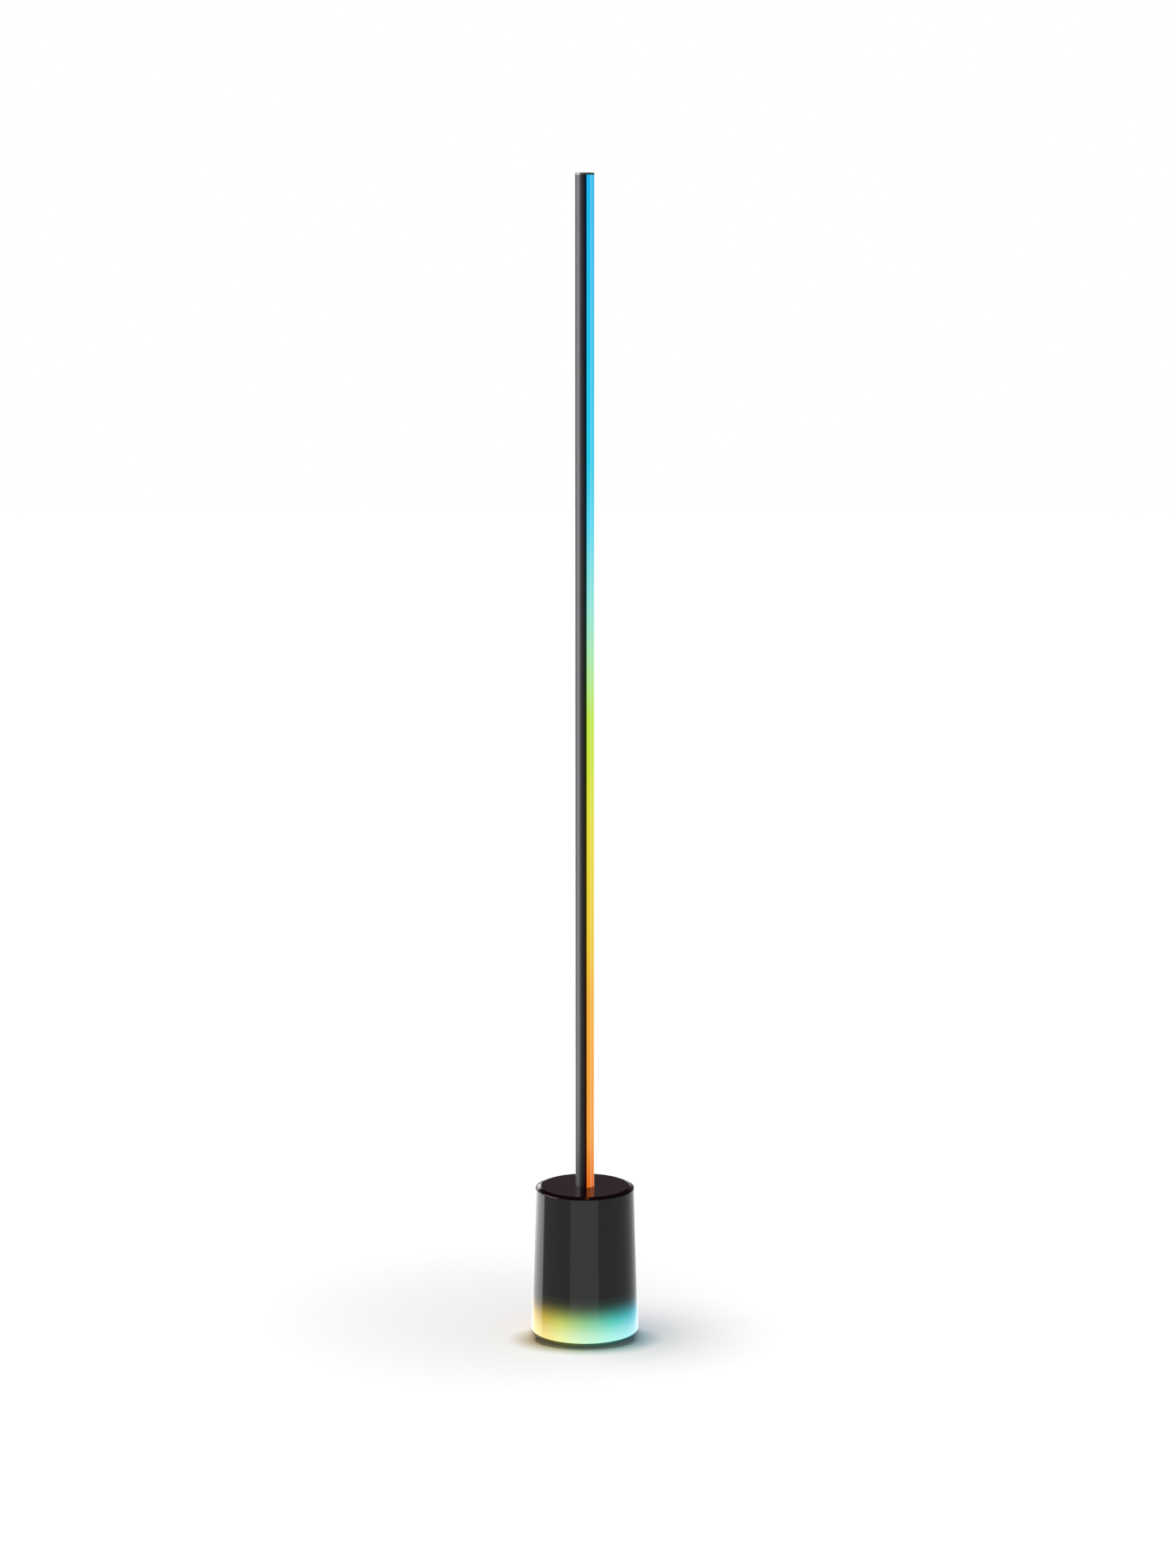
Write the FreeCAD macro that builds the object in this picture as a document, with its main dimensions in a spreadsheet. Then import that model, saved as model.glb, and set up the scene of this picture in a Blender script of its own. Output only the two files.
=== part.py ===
"""Corner floor lamp: a slim round pole with a light strip, on a tapered drum with a glowing skirt.

The frame stands on the floor: origin under the middle of the drum, +Z up, the front of the
lamp towards -Y and its cable side towards +Y.  The pole's light faces +X.  Lengths are in
millimetres and angles in degrees.
"""
import FreeCAD, Part
import math
import os
import Sketcher

os.makedirs("parts", exist_ok=True)
doc = FreeCAD.newDocument("CornerFloorLamp")
sheet = doc.addObject("Spreadsheet::Sheet", "Sizes")
pieces = []


# ---------------------------------------------------------------- sizes that carry their formula

class Size:
    """A number that remembers the formula it came from, so that a sketch can be bound to it."""

    def __init__(self, value, formula):
        self.value = value
        self.formula = formula

    def __add__(self, other):
        return Size(self.value + number(other), f"({self.formula} + {formula(other)})")

    def __sub__(self, other):
        return Size(self.value - number(other), f"({self.formula} - {formula(other)})")

    def __mul__(self, other):
        return Size(self.value * number(other), f"({self.formula} * {formula(other)})")

    def __truediv__(self, other):
        return Size(self.value / number(other), f"({self.formula} / {formula(other)})")

    def __rsub__(self, other):
        return Size(other - self.value, f"({other} - {self.formula})")

    def __neg__(self):
        return Size(-self.value, f"(-1 * {self.formula})")

    __radd__ = __add__
    __rmul__ = __mul__


def number(size):
    """Give the plain number of a size."""
    return size.value if isinstance(size, Size) else float(size)


def formula(size):
    """Give the formula of a size."""
    return size.formula if isinstance(size, Size) else str(size)


def root(size):
    """Give the square root of a size."""
    return Size(math.sqrt(size.value), f"sqrt({size.formula})")


def cosine(angle):
    """Give the cosine of an angle in degrees."""
    return Size(math.cos(math.radians(number(angle))), f"cos({formula(angle)})")


def sine(angle):
    """Give the sine of an angle in degrees."""
    return Size(math.sin(math.radians(number(angle))), f"sin({formula(angle)})")


def cell(name, value, meaning):
    """Enter one driving dimension in the sheet, under its own name."""
    row = cell.row = getattr(cell, "row", 0) + 1
    sheet.set(f"A{row}", meaning)
    sheet.set(f"B{row}", str(value))
    sheet.setAlias(f"B{row}", name)
    return Size(float(value), f"Sizes.{name}")


# ---------------------------------------------------------------- driving dimensions

lamp_height = cell("lamp_height", 1420, "floor to the top of the pole's cap")

# drum shell and deck
skirt_radius = cell("skirt_radius", 66.2, "outer radius of the shell at its lower edge")
rim_radius = cell("rim_radius", 60.9, "outer radius of the shell at its rim")
shell_bottom = cell("shell_bottom", 5.0, "height of the shell's lower edge")
rim_height = cell("rim_height", 184.6, "height of the shell's rim")
shell_wall = cell("shell_wall", 2.4, "wall of the shell")
rim_land = cell("rim_land", 0.7, "width of the rim round the deck")
rebate_depth = cell("rebate_depth", 3.0, "depth of the seat for the deck below the rim")
lip_reach = cell("lip_reach", 5.0, "width of the lip that carries the deck")
lip_thickness = cell("lip_thickness", 2.5, "thickness of the lip that carries the deck")
deck_gap = cell("deck_gap", 0.3, "gap between deck and rim")
deck_rise = cell("deck_rise", 2.6, "height of the deck's flat above the rim")
bevel_width = cell("bevel_width", 5.4, "width of the sloping edge of the deck")
deck_wall = cell("deck_wall", 3.0, "thickness of the deck's flat")
deck_foot_width = cell("deck_foot_width", 3.2, "width of the deck's foot ring on the lip")

# pole
pole_radius = cell("pole_radius", 11.5, "outer radius of the pole")
pole_wall = cell("pole_wall", 1.6, "wall of the pole")
lip_angle = cell("lip_angle", 78, "half of the angle that the light cover takes up")
web_front = cell("web_front", 4.0, "distance of the web's front face behind the axis")
web_thickness = cell("web_thickness", 1.4, "thickness of the web that carries the strip")
port_radius = cell("port_radius", 1.65, "radius of the screw port")
rib_width = cell("rib_width", 5.2, "width of the rib that holds the screw port")
groove_depth = cell("groove_depth", 0.8, "depth of the snap grooves")
groove_angle = cell("groove_angle", 90, "angle of the snap grooves from the light's direction")
groove_half = cell("groove_half", 6, "half of the angle that a snap groove takes up")
pole_depth = cell("pole_depth", 36, "how far the pole goes into the column below the rim")
cap_thickness = cell("cap_thickness", 2.5, "thickness of the cap's plate")
cap_plug = cell("cap_plug", 8.0, "length of the cap's plug in the pole")

# light cover of the pole
cover_wall = cell("cover_wall", 1.5, "wall of the light cover")
leg_wall = cell("leg_wall", 1.2, "wall of the light cover's snap legs")
leg_gap = cell("leg_gap", 0.15, "gap between snap leg and pole")
seam_angle = cell("seam_angle", 0.6, "angle of the fine seam at each edge of the cover")
hook_half = cell("hook_half", 3.5, "half of the angle that a snap hook takes up")
leg_root = cell("leg_root", 10, "angle from the cover's edge to the root of its leg")

# light strip
strip_width = cell("strip_width", 10.0, "width of the light strip")
strip_thickness = cell("strip_thickness", 1.0, "thickness of the light strip with its tape")
led_side = cell("led_side", 5.0, "side of a light chip")
led_height = cell("led_height", 1.6, "height of a light chip")
led_pitch = cell("led_pitch", 16.6, "distance from chip to chip")
strip_margin = cell("strip_margin", 2.0, "bare end of the light strip")
connector_width = cell("connector_width", 8.0, "width of the strip's connector")
plug_thickness = cell("plug_thickness", 3.0, "thickness of the pole plug's plate")
plug_spigot = cell("plug_spigot", 16.0, "height of the pole plug's spigot")
connector_length = cell("connector_length", 10.0, "length of the strip's connector")
connector_height = cell("connector_height", 3.5, "height of the strip's connector")

# column and counterweight
column_radius = cell("column_radius", 14.5, "outer radius of the steel column")
column_bore = cell("column_bore", 11.0, "bore radius of the column below its shelf")
socket_gap = cell("socket_gap", 0.2, "gap between pole and column")
shelf_thickness = cell("shelf_thickness", 6.0, "thickness of the shelf that the pole stands on")
flange_radius = cell("flange_radius", 26.0, "radius of the column's flange")
flange_thickness = cell("flange_thickness", 5.0, "thickness of the column's flange")
flange_circle = cell("flange_circle", 20.2, "radius of the flange's circle of screws")
weight_gap = cell("weight_gap", 1.5, "gap between the counterweight and the pan's step")
weight_height = cell("weight_height", 30.0, "height of the counterweight")
weight_bore = cell("weight_bore", 12.0, "bore radius of the counterweight")
weight_corner = cell("weight_corner", 2.0, "bevel round the counterweight")

# base pan and pad
pan_bottom = cell("pan_bottom", 0.8, "height of the pan's underside")
pan_floor = cell("pan_floor", 4.4, "height of the pan's floor")
foot_inset = cell("foot_inset", 1.8, "how far the pan's foot stands back under the shell")
seat_width = cell("seat_width", 1.0, "how far the pan's shoulder flares out under the shell")
step_height = cell("step_height", 6.3, "height of the pan's step for the glow board")
step_land = cell("step_land", 1.5, "width of the pan's step inside the glow board")
access_radius = cell("access_radius", 9.0, "radius of the opening to the pole's bolt")
pad_inner = cell("pad_inner", 40.0, "inner radius of the pad")
pad_inset = cell("pad_inset", 2.6, "how far the pad lies inside the foot")
pad_thickness = cell("pad_thickness", 1.5, "thickness of the pad")
pad_gap = cell("pad_gap", 0.2, "gap between the pad and its recess")

# chassis
chassis_gap = cell("chassis_gap", 0.9, "gap between the chassis and the shell")
chassis_wall = cell("chassis_wall", 2.0, "wall of the chassis")
chassis_plate = cell("chassis_plate", 3.0, "thickness of the chassis top plate")
chassis_bottom = cell("chassis_bottom", 60.0, "height of the chassis wall's lower edge")
column_gap = cell("column_gap", 0.3, "gap between the column and what it passes")
post_inset = cell("post_inset", 8.0, "distance of the posts inside the weight's edge")
post_radius = cell("post_radius", 5.0, "radius of a chassis post")
boss_inset = cell("boss_inset", 14.2, "distance of the deck's bosses inside the rebate")
boss_radius = cell("boss_radius", 4.0, "radius of a deck boss")
boss_floor = cell("boss_floor", 0.5, "what is left of the deck above a boss's hole")
window_half = cell("window_half", 17.0, "half of the width of the chassis window")
window_rise = cell("window_rise", 17.0, "height of the chassis window above the button's axis")

# glowing skirt
glow_height = cell("glow_height", 58.0, "height of the top of the glow diffuser")
glow_wall = cell("glow_wall", 1.6, "wall of the glow diffuser")
glow_gap = cell("glow_gap", 0.4, "gap between the glow diffuser and the shell")
ring_gap = cell("ring_gap", 0.8, "gap between the glow board and the glow diffuser")
ring_width = cell("ring_width", 8.0, "width of the glow board")
glow_board_wall = cell("glow_board_wall", 1.2, "thickness of the glow board")
chip_inset = cell("chip_inset", 3.4, "distance of the glow chips inside the board's edge")
glow_count = cell("glow_count", 24, "number of glow chips")

# control board
board_half = cell("board_half", 28.0, "half of the width of the control board")
board_low = cell("board_low", 44.0, "height of the control board's lower edge")
board_high = cell("board_high", 100.0, "height of the control board's upper edge")
board_back = cell("board_back", 21.0, "distance of the control board's back face from the axis")
board_wall = cell("board_wall", 1.6, "thickness of the control board")
lug_depth = cell("lug_depth", 4.0, "depth of the board lugs")
lug_side = cell("lug_side", 8.0, "height of the board lugs")
header_height = cell("header_height", 6.0, "height of the headers on the board")
header_half = cell("header_half", 4.0, "half of the width of a header")
header_half_height = cell("header_half_height", 2.5, "half of the height of a header's outline")
chip_height = cell("chip_height", 1.6, "height of the chips on the board")
controller_half = cell("controller_half", 5.0, "half of the side of the controller chip")
driver_half = cell("driver_half", 3.0, "half of the side of the driver chip")
capacitor_radius = cell("capacitor_radius", 4.0, "radius of the board's capacitor")
capacitor_height = cell("capacitor_height", 9.0, "height of the board's capacitor")
lug_offset = cell("lug_offset", 2.2, "distance of a board screw outside the lug's inner half")

# power inlet
inlet_height = cell("inlet_height", 72.0, "height of the inlet's axis")
inlet_inset = cell("inlet_inset", 1.6, "depth of the inlet's seat below the shell's surface")
inlet_flange = cell("inlet_flange", 7.0, "radius of the inlet's flange")
inlet_flange_wall = cell("inlet_flange_wall", 1.6, "thickness of the inlet's flange")
inlet_barrel = cell("inlet_barrel", 5.4, "radius of the inlet's barrel")
inlet_barrel_length = cell("inlet_barrel_length", 10.6, "length of the inlet's barrel")
inlet_bore = cell("inlet_bore", 3.0, "radius of the inlet's bore")
inlet_depth = cell("inlet_depth", 10.0, "depth of the inlet's bore")
inlet_pin_radius = cell("inlet_pin_radius", 1.05, "radius of the inlet's pin")
inlet_tail = cell("inlet_tail", 5.4, "length of the inlet's tail")
tail_half = cell("tail_half", 4.5, "half of the side of the inlet's tail")
pin_recess = cell("pin_recess", 1.2, "how far the pin's end lies behind the flange's face")
inlet_boss_lap = cell("inlet_boss_lap", 2.0, "how far the inlet's boss reaches past its flange")
nut_half = cell("nut_half", 7.0, "half of the inlet nut's width across flats")
nut_thickness = cell("nut_thickness", 3.0, "thickness of the inlet's nut")
boss_depth = cell("boss_depth", 4.1, "depth of the shell's inner bosses")

# power button
button_height = cell("button_height", 101.0, "height of the button's axis")
button_inset = cell("button_inset", 1.8, "depth of the bezel's seat below the shell's surface")
button_radius = cell("button_radius", 5.5, "radius of the button")
button_gap = cell("button_gap", 0.35, "gap round the button and behind the shell's boss")
button_travel = cell("button_travel", 0.8, "how far the button goes in")
button_proud = cell("button_proud", 0.9, "how far the button stands out of its bezel")
button_chamfer = cell("button_chamfer", 0.6, "bevel round the button's face")
bezel_radius = cell("bezel_radius", 8.0, "outer radius of the bezel")
bezel_wall = cell("bezel_wall", 2.0, "thickness of the bezel")
button_boss_lap = cell("button_boss_lap", 1.5, "how far the button's boss reaches past its bezel")
collar_radius = cell("collar_radius", 7.2, "radius of the collar that keeps the button in")
collar_wall = cell("collar_wall", 1.4, "thickness of the collar that keeps the button in")
stem_radius = cell("stem_radius", 2.0, "radius of the button's stem")
switch_side = cell("switch_side", 6.0, "side of the switch")
switch_depth = cell("switch_depth", 3.5, "depth of the switch's case")
plunger_radius = cell("plunger_radius", 1.5, "radius of the switch's plunger")
plunger_proud = cell("plunger_proud", 1.4, "how far the plunger stands out of the switch")
plunger_hold = cell("plunger_hold", 0.6, "how far the plunger stays in the switch")
plunger_room = cell("plunger_room", 0.4, "room below the pressed plunger")
button_board_inset = cell("button_board_inset", 14.4, "distance of the button board behind the seat")
button_board_wall = cell("button_board_wall", 1.2, "thickness of the button board")
button_board_half = cell("button_board_half", 13.0, "half of the width of the button board")
button_board_high = cell("button_board_high", 7.0, "half of the height of the button board")
pillar_spread = cell("pillar_spread", 10.0, "distance of the board pillars from the button's axis")
pillar_radius = cell("pillar_radius", 2.4, "radius of the board pillars")
pillar_sink = cell("pillar_sink", 0.8, "how far the pillars start behind the bezel's seat")
pilot_depth = cell("pilot_depth", 8.0, "depth of the pillars' screw holes")

# screws and leads
thread_gap = cell("thread_gap", 0.05, "gap between a screw and its tapped hole")
pass_gap = cell("pass_gap", 0.3, "gap between a screw and a hole that it passes")
small_screw = cell("small_screw", 1.1, "radius of a small board screw")
small_head = cell("small_head", 2.1, "radius of a small board screw's head")
small_head_height = cell("small_head_height", 1.3, "height of a small board screw's head")
glow_screw_length = cell("glow_screw_length", 4.0, "length of a glow board screw")
board_screw_length = cell("board_screw_length", 5.0, "length of a control board screw")
button_screw_length = cell("button_screw_length", 7.0, "length of a button board screw")
case_screw = cell("case_screw", 1.5, "radius of a case screw")
case_head = cell("case_head", 3.0, "radius of a case screw's head")
case_head_height = cell("case_head_height", 1.8, "height of a case screw's head")
plug_screw_length = cell("plug_screw_length", 14.0, "length of the screw into the pole's port")
deck_screw_hold = cell("deck_screw_hold", 4.0, "how far a deck screw goes into its boss")
pan_screw_length = cell("pan_screw_length", 11.0, "length of a pan screw")
heavy_screw = cell("heavy_screw", 2.0, "radius of a post screw")
heavy_head = cell("heavy_head", 3.8, "radius of a post screw's head")
heavy_head_height = cell("heavy_head_height", 3.0, "height of a post screw's head")
post_screw_hold = cell("post_screw_hold", 12.0, "how far a post screw goes into its post")
tapped_depth = cell("tapped_depth", 14.0, "depth of the tapped holes in weight and posts")
flange_screw_hold = cell("flange_screw_hold", 10.0, "how far a flange screw goes into the weight")
bolt_short = cell("bolt_short", 4.0, "how far the pole's bolt ends below the top of the plug's spigot")
pole_bolt_radius = cell("pole_bolt_radius", 2.5, "radius of the pole's bolt and flange screws")
bolt_head = cell("bolt_head", 4.2, "radius of the pole bolt's head")
bolt_head_height = cell("bolt_head_height", 5.0, "height of the pole bolt's head")
key_half = cell("key_half", 2.0, "half of the width across flats of a key's socket")
key_depth = cell("key_depth", 3.0, "depth of a key's socket")
washer_thickness = cell("washer_thickness", 1.0, "thickness of the pole bolt's washer")
washer_lap = cell("washer_lap", 1.0, "how far the washer reaches past the bolt's head")
lead_radius = cell("lead_radius", 1.1, "radius of an inner lead")
lead_room = cell("lead_room", 0.6, "room round a lead in a notch or hole")
lead_exit = cell("lead_exit", 7.0, "straight end of a lead at a header")
lead_end = cell("lead_end", 4.0, "straight end of the strip's lead at its connector")
lead_sway = cell("lead_sway", 3.0, "how far the strip's lead swings aside before the column")
lead_turn = cell("lead_turn", 9.0, "height that the strip's lead needs above the pole plug")
lead_slot = cell("lead_slot", 14.0, "height of the column's slot for the strip's lead")
lead_slot_half = cell("lead_slot_half", 4.0, "half of the width of the column's slot")
lead_drop = cell("lead_drop", 24.6, "distance of the column's slot below its shelf")
lead_place = cell("lead_place", 8.2, "distance of the strip's lead from the axis")

sheet.recompute()

# ---------------------------------------------------------------- places worked out from them

inner_radius = pole_radius - pole_wall
web_back = web_front + web_thickness
port_place = (web_back + inner_radius) / 2
deck_top = rim_height + deck_rise
deck_under = deck_top - deck_wall
lip_top = rim_height - rebate_depth
lip_bottom = lip_top - lip_thickness
rebate_radius = rim_radius - rim_land
plate_bottom = lip_bottom - chassis_plate
weight_top = pan_floor + weight_height
shelf_top = rim_height - pole_depth
shelf_bottom = shelf_top - shelf_thickness
pole_bottom = shelf_top + plug_thickness
pole_top = lamp_height - cap_thickness
strip_bottom = pole_bottom + plug_spigot + lead_turn
connector_low = strip_bottom + strip_margin
strip_top = pole_top - cap_plug - strip_margin


def shell_radius(height):
    """Give the shell's outer radius at a height, on its straight taper."""
    rise = (height - shell_bottom) / (rim_height - shell_bottom)
    return skirt_radius - rise * (skirt_radius - rim_radius)


def glow_radius(height):
    """Give the glow diffuser's outer radius at a height."""
    return shell_radius(height) - shell_wall - glow_gap


def chassis_radius(height):
    """Give the chassis' outer radius at a height."""
    return shell_radius(height) - shell_wall - chassis_gap


foot_radius = skirt_radius - foot_inset
pad_outer = foot_radius - pad_inset
glow_board_outer = glow_radius(step_height) - glow_wall - ring_gap
glow_board_inner = glow_board_outer - ring_width
glow_circle = glow_board_outer - chip_inset
glow_screw_circle = glow_board_inner + small_head + pass_gap
step_inner = glow_board_inner - step_land
weight_radius = step_inner - weight_gap
post_circle = weight_radius - post_inset
boss_circle = rebate_radius - boss_inset
pan_screw_circle = (weight_bore + pad_inner) / 2 + case_head

board_front = board_back - board_wall
inlet_face = shell_radius(inlet_height) - inlet_inset
button_seat = shell_radius(button_height) - button_inset
button_board_back = button_seat - button_board_inset
button_boss_face = button_seat - boss_depth
switch_face = button_board_back + switch_depth
plunger_face = switch_face + plunger_proud
window_top = button_height + window_rise
slot_top = shelf_bottom - lead_drop
slot_low = slot_top - lead_slot

# middles of what stands on the control board, across and up
POWER_HEADER = (-12, board_low + 8)
BUTTON_HEADER = (4, board_high - 6)
GLOW_HEADER = (16, board_low + 8)
STRIP_HEADER = (22, board_high - 16)
CONTROLLER = (0, board_low + 25)
DRIVER = (-13, board_low + 37)
CAPACITOR = (18, board_high - 22)

# directions in which the first screw or post of each circle stands
POST_ANGLE = 30
BOSS_ANGLE = 90
PAN_SCREW_ANGLE = 45
GLOW_SCREW_ANGLE = 22.5
GLOW_LEAD_ANGLE = 67.5

SIDES = (-1, 1)
FAR = 20.0        # how far a cut runs on into the open


# ---------------------------------------------------------------- drawing

class Bend:
    """A round stretch of an outline, of a radius, turning left or right."""

    def __init__(self, radius, left):
        self.radius = radius
        self.left = left


def left(radius):
    """Bend to the left on the way to the next corner."""
    return Bend(radius, True)


def right(radius):
    """Bend to the right on the way to the next corner."""
    return Bend(radius, False)


def polar(radius, angle):
    """Give a corner by its distance and direction from the axis."""
    return (radius * cosine(angle), radius * sine(angle))


def mirrored(steps):
    """Turn an outline over, top to bottom, and run it the other way round."""
    corners, bends = split(steps)
    result = []
    for index in reversed(range(len(corners))):
        x, y = corners[index]
        result.append((x, -y))
        bend = bends.get((index - 1) % len(corners))
        if bend:
            result.append(bend)
    return result


def split(steps):
    """Part an outline into its corners and the bends that follow them."""
    corners, bends = [], {}
    for step in steps:
        if isinstance(step, Bend):
            bends[len(corners) - 1] = step
        else:
            corners.append(step)
    return corners, bends


def rectangle(x_low, x_high, y_low, y_high):
    """Give the outline of a rectangle."""
    return [(x_low, y_low), (x_high, y_low), (x_high, y_high), (x_low, y_high)]


def circle(x, y, radius):
    """Give a full circle."""
    return (x, y, radius)


def arc_between(start, stop, bend):
    """Make the shorter arc of a bend's radius from start to stop."""
    radius = number(bend.radius)
    chord = stop - start
    side = FreeCAD.Vector(-chord.y, chord.x, 0).normalize() * (1 if bend.left else -1)
    centre = (start + stop) * 0.5 + side * math.sqrt(radius ** 2 - chord.Length ** 2 / 4)
    first, last = (start, stop) if bend.left else (stop, start)
    angle_from = math.atan2(first.y - centre.y, first.x - centre.x)
    angle_to = math.atan2(last.y - centre.y, last.x - centre.x)
    if angle_to < angle_from:
        angle_to += 2 * math.pi
    return Part.ArcOfCircle(Part.Circle(centre, FreeCAD.Vector(0, 0, 1), radius), angle_from, angle_to)


def hold(sketch, kind, *place, size):
    """Add a constraint and bind it to its size."""
    index = sketch.addConstraint(Sketcher.Constraint(kind, *place, number(size)))
    if isinstance(size, Size):
        sketch.setExpression(f"Constraints[{index}]", size.formula)


def draw_circle(sketch, x, y, radius):
    """Draw a circle whose place and radius are bound."""
    centre = FreeCAD.Vector(number(x), number(y), 0)
    item = sketch.addGeometry(Part.Circle(centre, FreeCAD.Vector(0, 0, 1), number(radius)), False)
    hold(sketch, "DistanceX", -1, 1, item, 3, size=x)
    hold(sketch, "DistanceY", -1, 1, item, 3, size=y)
    hold(sketch, "Radius", item, size=radius)


def draw_outline(sketch, steps):
    """Draw a closed outline whose every corner and bend is bound."""
    corners, bends = split(steps)
    spots = [FreeCAD.Vector(number(x), number(y), 0) for x, y in corners]
    items, ends = [], []
    for index, spot in enumerate(spots):
        following = spots[(index + 1) % len(spots)]
        bend = bends.get(index)
        line = arc_between(spot, following, bend) if bend else Part.LineSegment(spot, following)
        items.append(sketch.addGeometry(line, False))
        ends.append((2, 1) if bend and not bend.left else (1, 2))
    for index, item in enumerate(items):
        after = (index + 1) % len(items)
        joint = Sketcher.Constraint("Coincident", item, ends[index][1], items[after], ends[after][0])
        sketch.addConstraint(joint)
        x, y = corners[index]
        hold(sketch, "DistanceX", -1, 1, item, ends[index][0], size=x)
        hold(sketch, "DistanceY", -1, 1, item, ends[index][0], size=y)
        if index in bends:
            hold(sketch, "Radius", item, size=bends[index].radius)


class Piece:
    """One piece of the lamp, with short ways to draw it and to shape it."""

    def __init__(self, label):
        self.body = doc.addObject("PartDesign::Body", label)
        self.body.Label = label
        pieces.append(self.body)

    def plane(self, role):
        """Find one of the piece's own origin planes."""
        return [item for item in self.body.Origin.OriginFeatures if item.Role == role][0]

    def sketch(self, role, shapes, at):
        """Draw closed shapes on an origin plane moved along its normal."""
        sketch = self.body.newObject("Sketcher::SketchObject", "Sketch")
        sketch.AttachmentSupport = (self.plane(role), "")
        sketch.MapMode = "FlatFace"
        sketch.AttachmentOffset = FreeCAD.Placement(
            FreeCAD.Vector(0, 0, number(at)), FreeCAD.Rotation())
        if isinstance(at, Size):
            sketch.setExpression("AttachmentOffset.Base.z", at.formula)
        for shape in shapes:
            if isinstance(shape, tuple):
                draw_circle(sketch, *shape)
            else:
                draw_outline(sketch, shape)
        return sketch

    def shape_by(self, kind, sketch, length, reverse):
        """Pad or pocket a sketch and see that it changed the piece."""
        before = self.body.Shape.Volume if self.body.Tip else 0.0
        feature = self.body.newObject(kind, kind.split("::")[1])
        feature.Profile = sketch
        feature.Length = number(length)
        if isinstance(length, Size):
            feature.setExpression("Length", length.formula)
        feature.Reversed = reverse
        doc.recompute()
        if abs(self.body.Shape.Volume - before) < 1e-3:
            raise RuntimeError(f"{self.body.Label}: {feature.Name} changes nothing")
        return feature

    def pad(self, role, shapes, at, length, reverse=False):
        """Raise shapes along the plane's normal: +Z, or -Y from XZ, or +X from YZ."""
        return self.shape_by("PartDesign::Pad", self.sketch(role, shapes, at), length, reverse)

    def cut(self, role, shapes, at, length, reverse=False):
        """Sink shapes against the plane's normal: -Z, or +Y from XZ, or -X from YZ."""
        return self.shape_by("PartDesign::Pocket", self.sketch(role, shapes, at), length, reverse)

    def turn(self, steps):
        """Turn an outline of radius and height once round the upright axis."""
        sketch = self.sketch("XZ_Plane", [steps], 0)
        feature = self.body.newObject("PartDesign::Revolution", "Revolution")
        feature.Profile = sketch
        feature.ReferenceAxis = (sketch, ["V_Axis"])
        feature.Angle = 360
        doc.recompute()
        return feature

    def bevel_face(self, width, distance):
        """Bevel the edges of the piece's rear face, which lies at a distance behind the axis."""
        edges = [
            f"Edge{index + 1}" for index, edge in enumerate(self.body.Tip.Shape.Edges)
            if abs(edge.BoundBox.YMin - number(distance)) < 1e-3]
        feature = self.body.newObject("PartDesign::Chamfer", "Chamfer")
        feature.Base = (feature.BaseFeature, edges)
        feature.setExpression("Size", width.formula)
        doc.recompute()


def around(circle_radius, radius, count, first=0.0):
    """Give circles evenly spaced on a circle."""
    step = 360.0 / count
    return [circle(*polar(circle_radius, first + step * index), radius) for index in range(count)]


def posts(radius):
    """Give circles where the chassis posts stand."""
    return around(post_circle, radius, 3, POST_ANGLE)


def flange_places(radius):
    """Give circles where the column's flange is screwed down."""
    return around(flange_circle, radius, 3, POST_ANGLE)


def bosses(radius):
    """Give circles where the deck's bosses stand."""
    return around(boss_circle, radius, 3, BOSS_ANGLE)


def pan_places(radius):
    """Give circles where the pan is screwed to the weight."""
    return around(pan_screw_circle, radius, 4, PAN_SCREW_ANGLE)


def glow_places(radius):
    """Give circles where the glow board is screwed to the pan."""
    return around(glow_screw_circle, radius, 3, GLOW_SCREW_ANGLE)


def board_places(radius):
    """Give circles where the control board is screwed to its lugs."""
    across = board_half - lug_side / 2 + lug_offset
    heights = (board_low + lug_side / 2, board_high - lug_side / 2)
    return [circle(side * across, height, radius) for side in SIDES for height in heights]


def pillar_places(radius):
    """Give circles where the button's board is screwed to its pillars."""
    return [circle(side * pillar_spread, button_height, radius) for side in SIDES]


def hexagon(half_width, x=0.0, y=0.0):
    """Give a hexagon by half of its width across flats."""
    corners = [polar(half_width / cosine(30), 60 * index + 30) for index in range(6)]
    return [(corner_x + x, corner_y + y) for corner_x, corner_y in corners]


def rear(distance):
    """Give the sketch offset of an upright plane at a distance behind the axis."""
    return -distance


# ---------------------------------------------------------------- pole

def make_pole_extrusion():
    """Round extrusion with a light channel, a web, two cable chambers and a screw port."""
    piece = Piece("pole_extrusion")
    length = pole_top - pole_bottom
    piece.pad("XY_Plane", [circle(0, 0, pole_radius)], pole_bottom, length)
    groove = inner_radius + groove_depth
    beyond = pole_radius + FAR
    half = [
        (-web_front, root(inner_radius * inner_radius - web_front * web_front)), right(inner_radius),
        polar(inner_radius, groove_angle + groove_half),
        polar(groove, groove_angle + groove_half), right(groove),
        polar(groove, groove_angle - groove_half),
        polar(inner_radius, groove_angle - groove_half), right(inner_radius),
        polar(inner_radius, lip_angle),
        polar(beyond, lip_angle),
        (beyond, beyond * sine(lip_angle)),
    ]
    channel = half + mirrored(half)
    chamber = [
        (-web_back, rib_width / 2),
        (-web_back, root(inner_radius * inner_radius - web_back * web_back)), left(inner_radius),
        (-root(inner_radius * inner_radius - rib_width * rib_width / 4), rib_width / 2),
    ]
    port = circle(-port_place, 0, port_radius)
    piece.cut("XY_Plane", [channel, chamber, mirrored(chamber), port], pole_top, length)
    return piece


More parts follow.
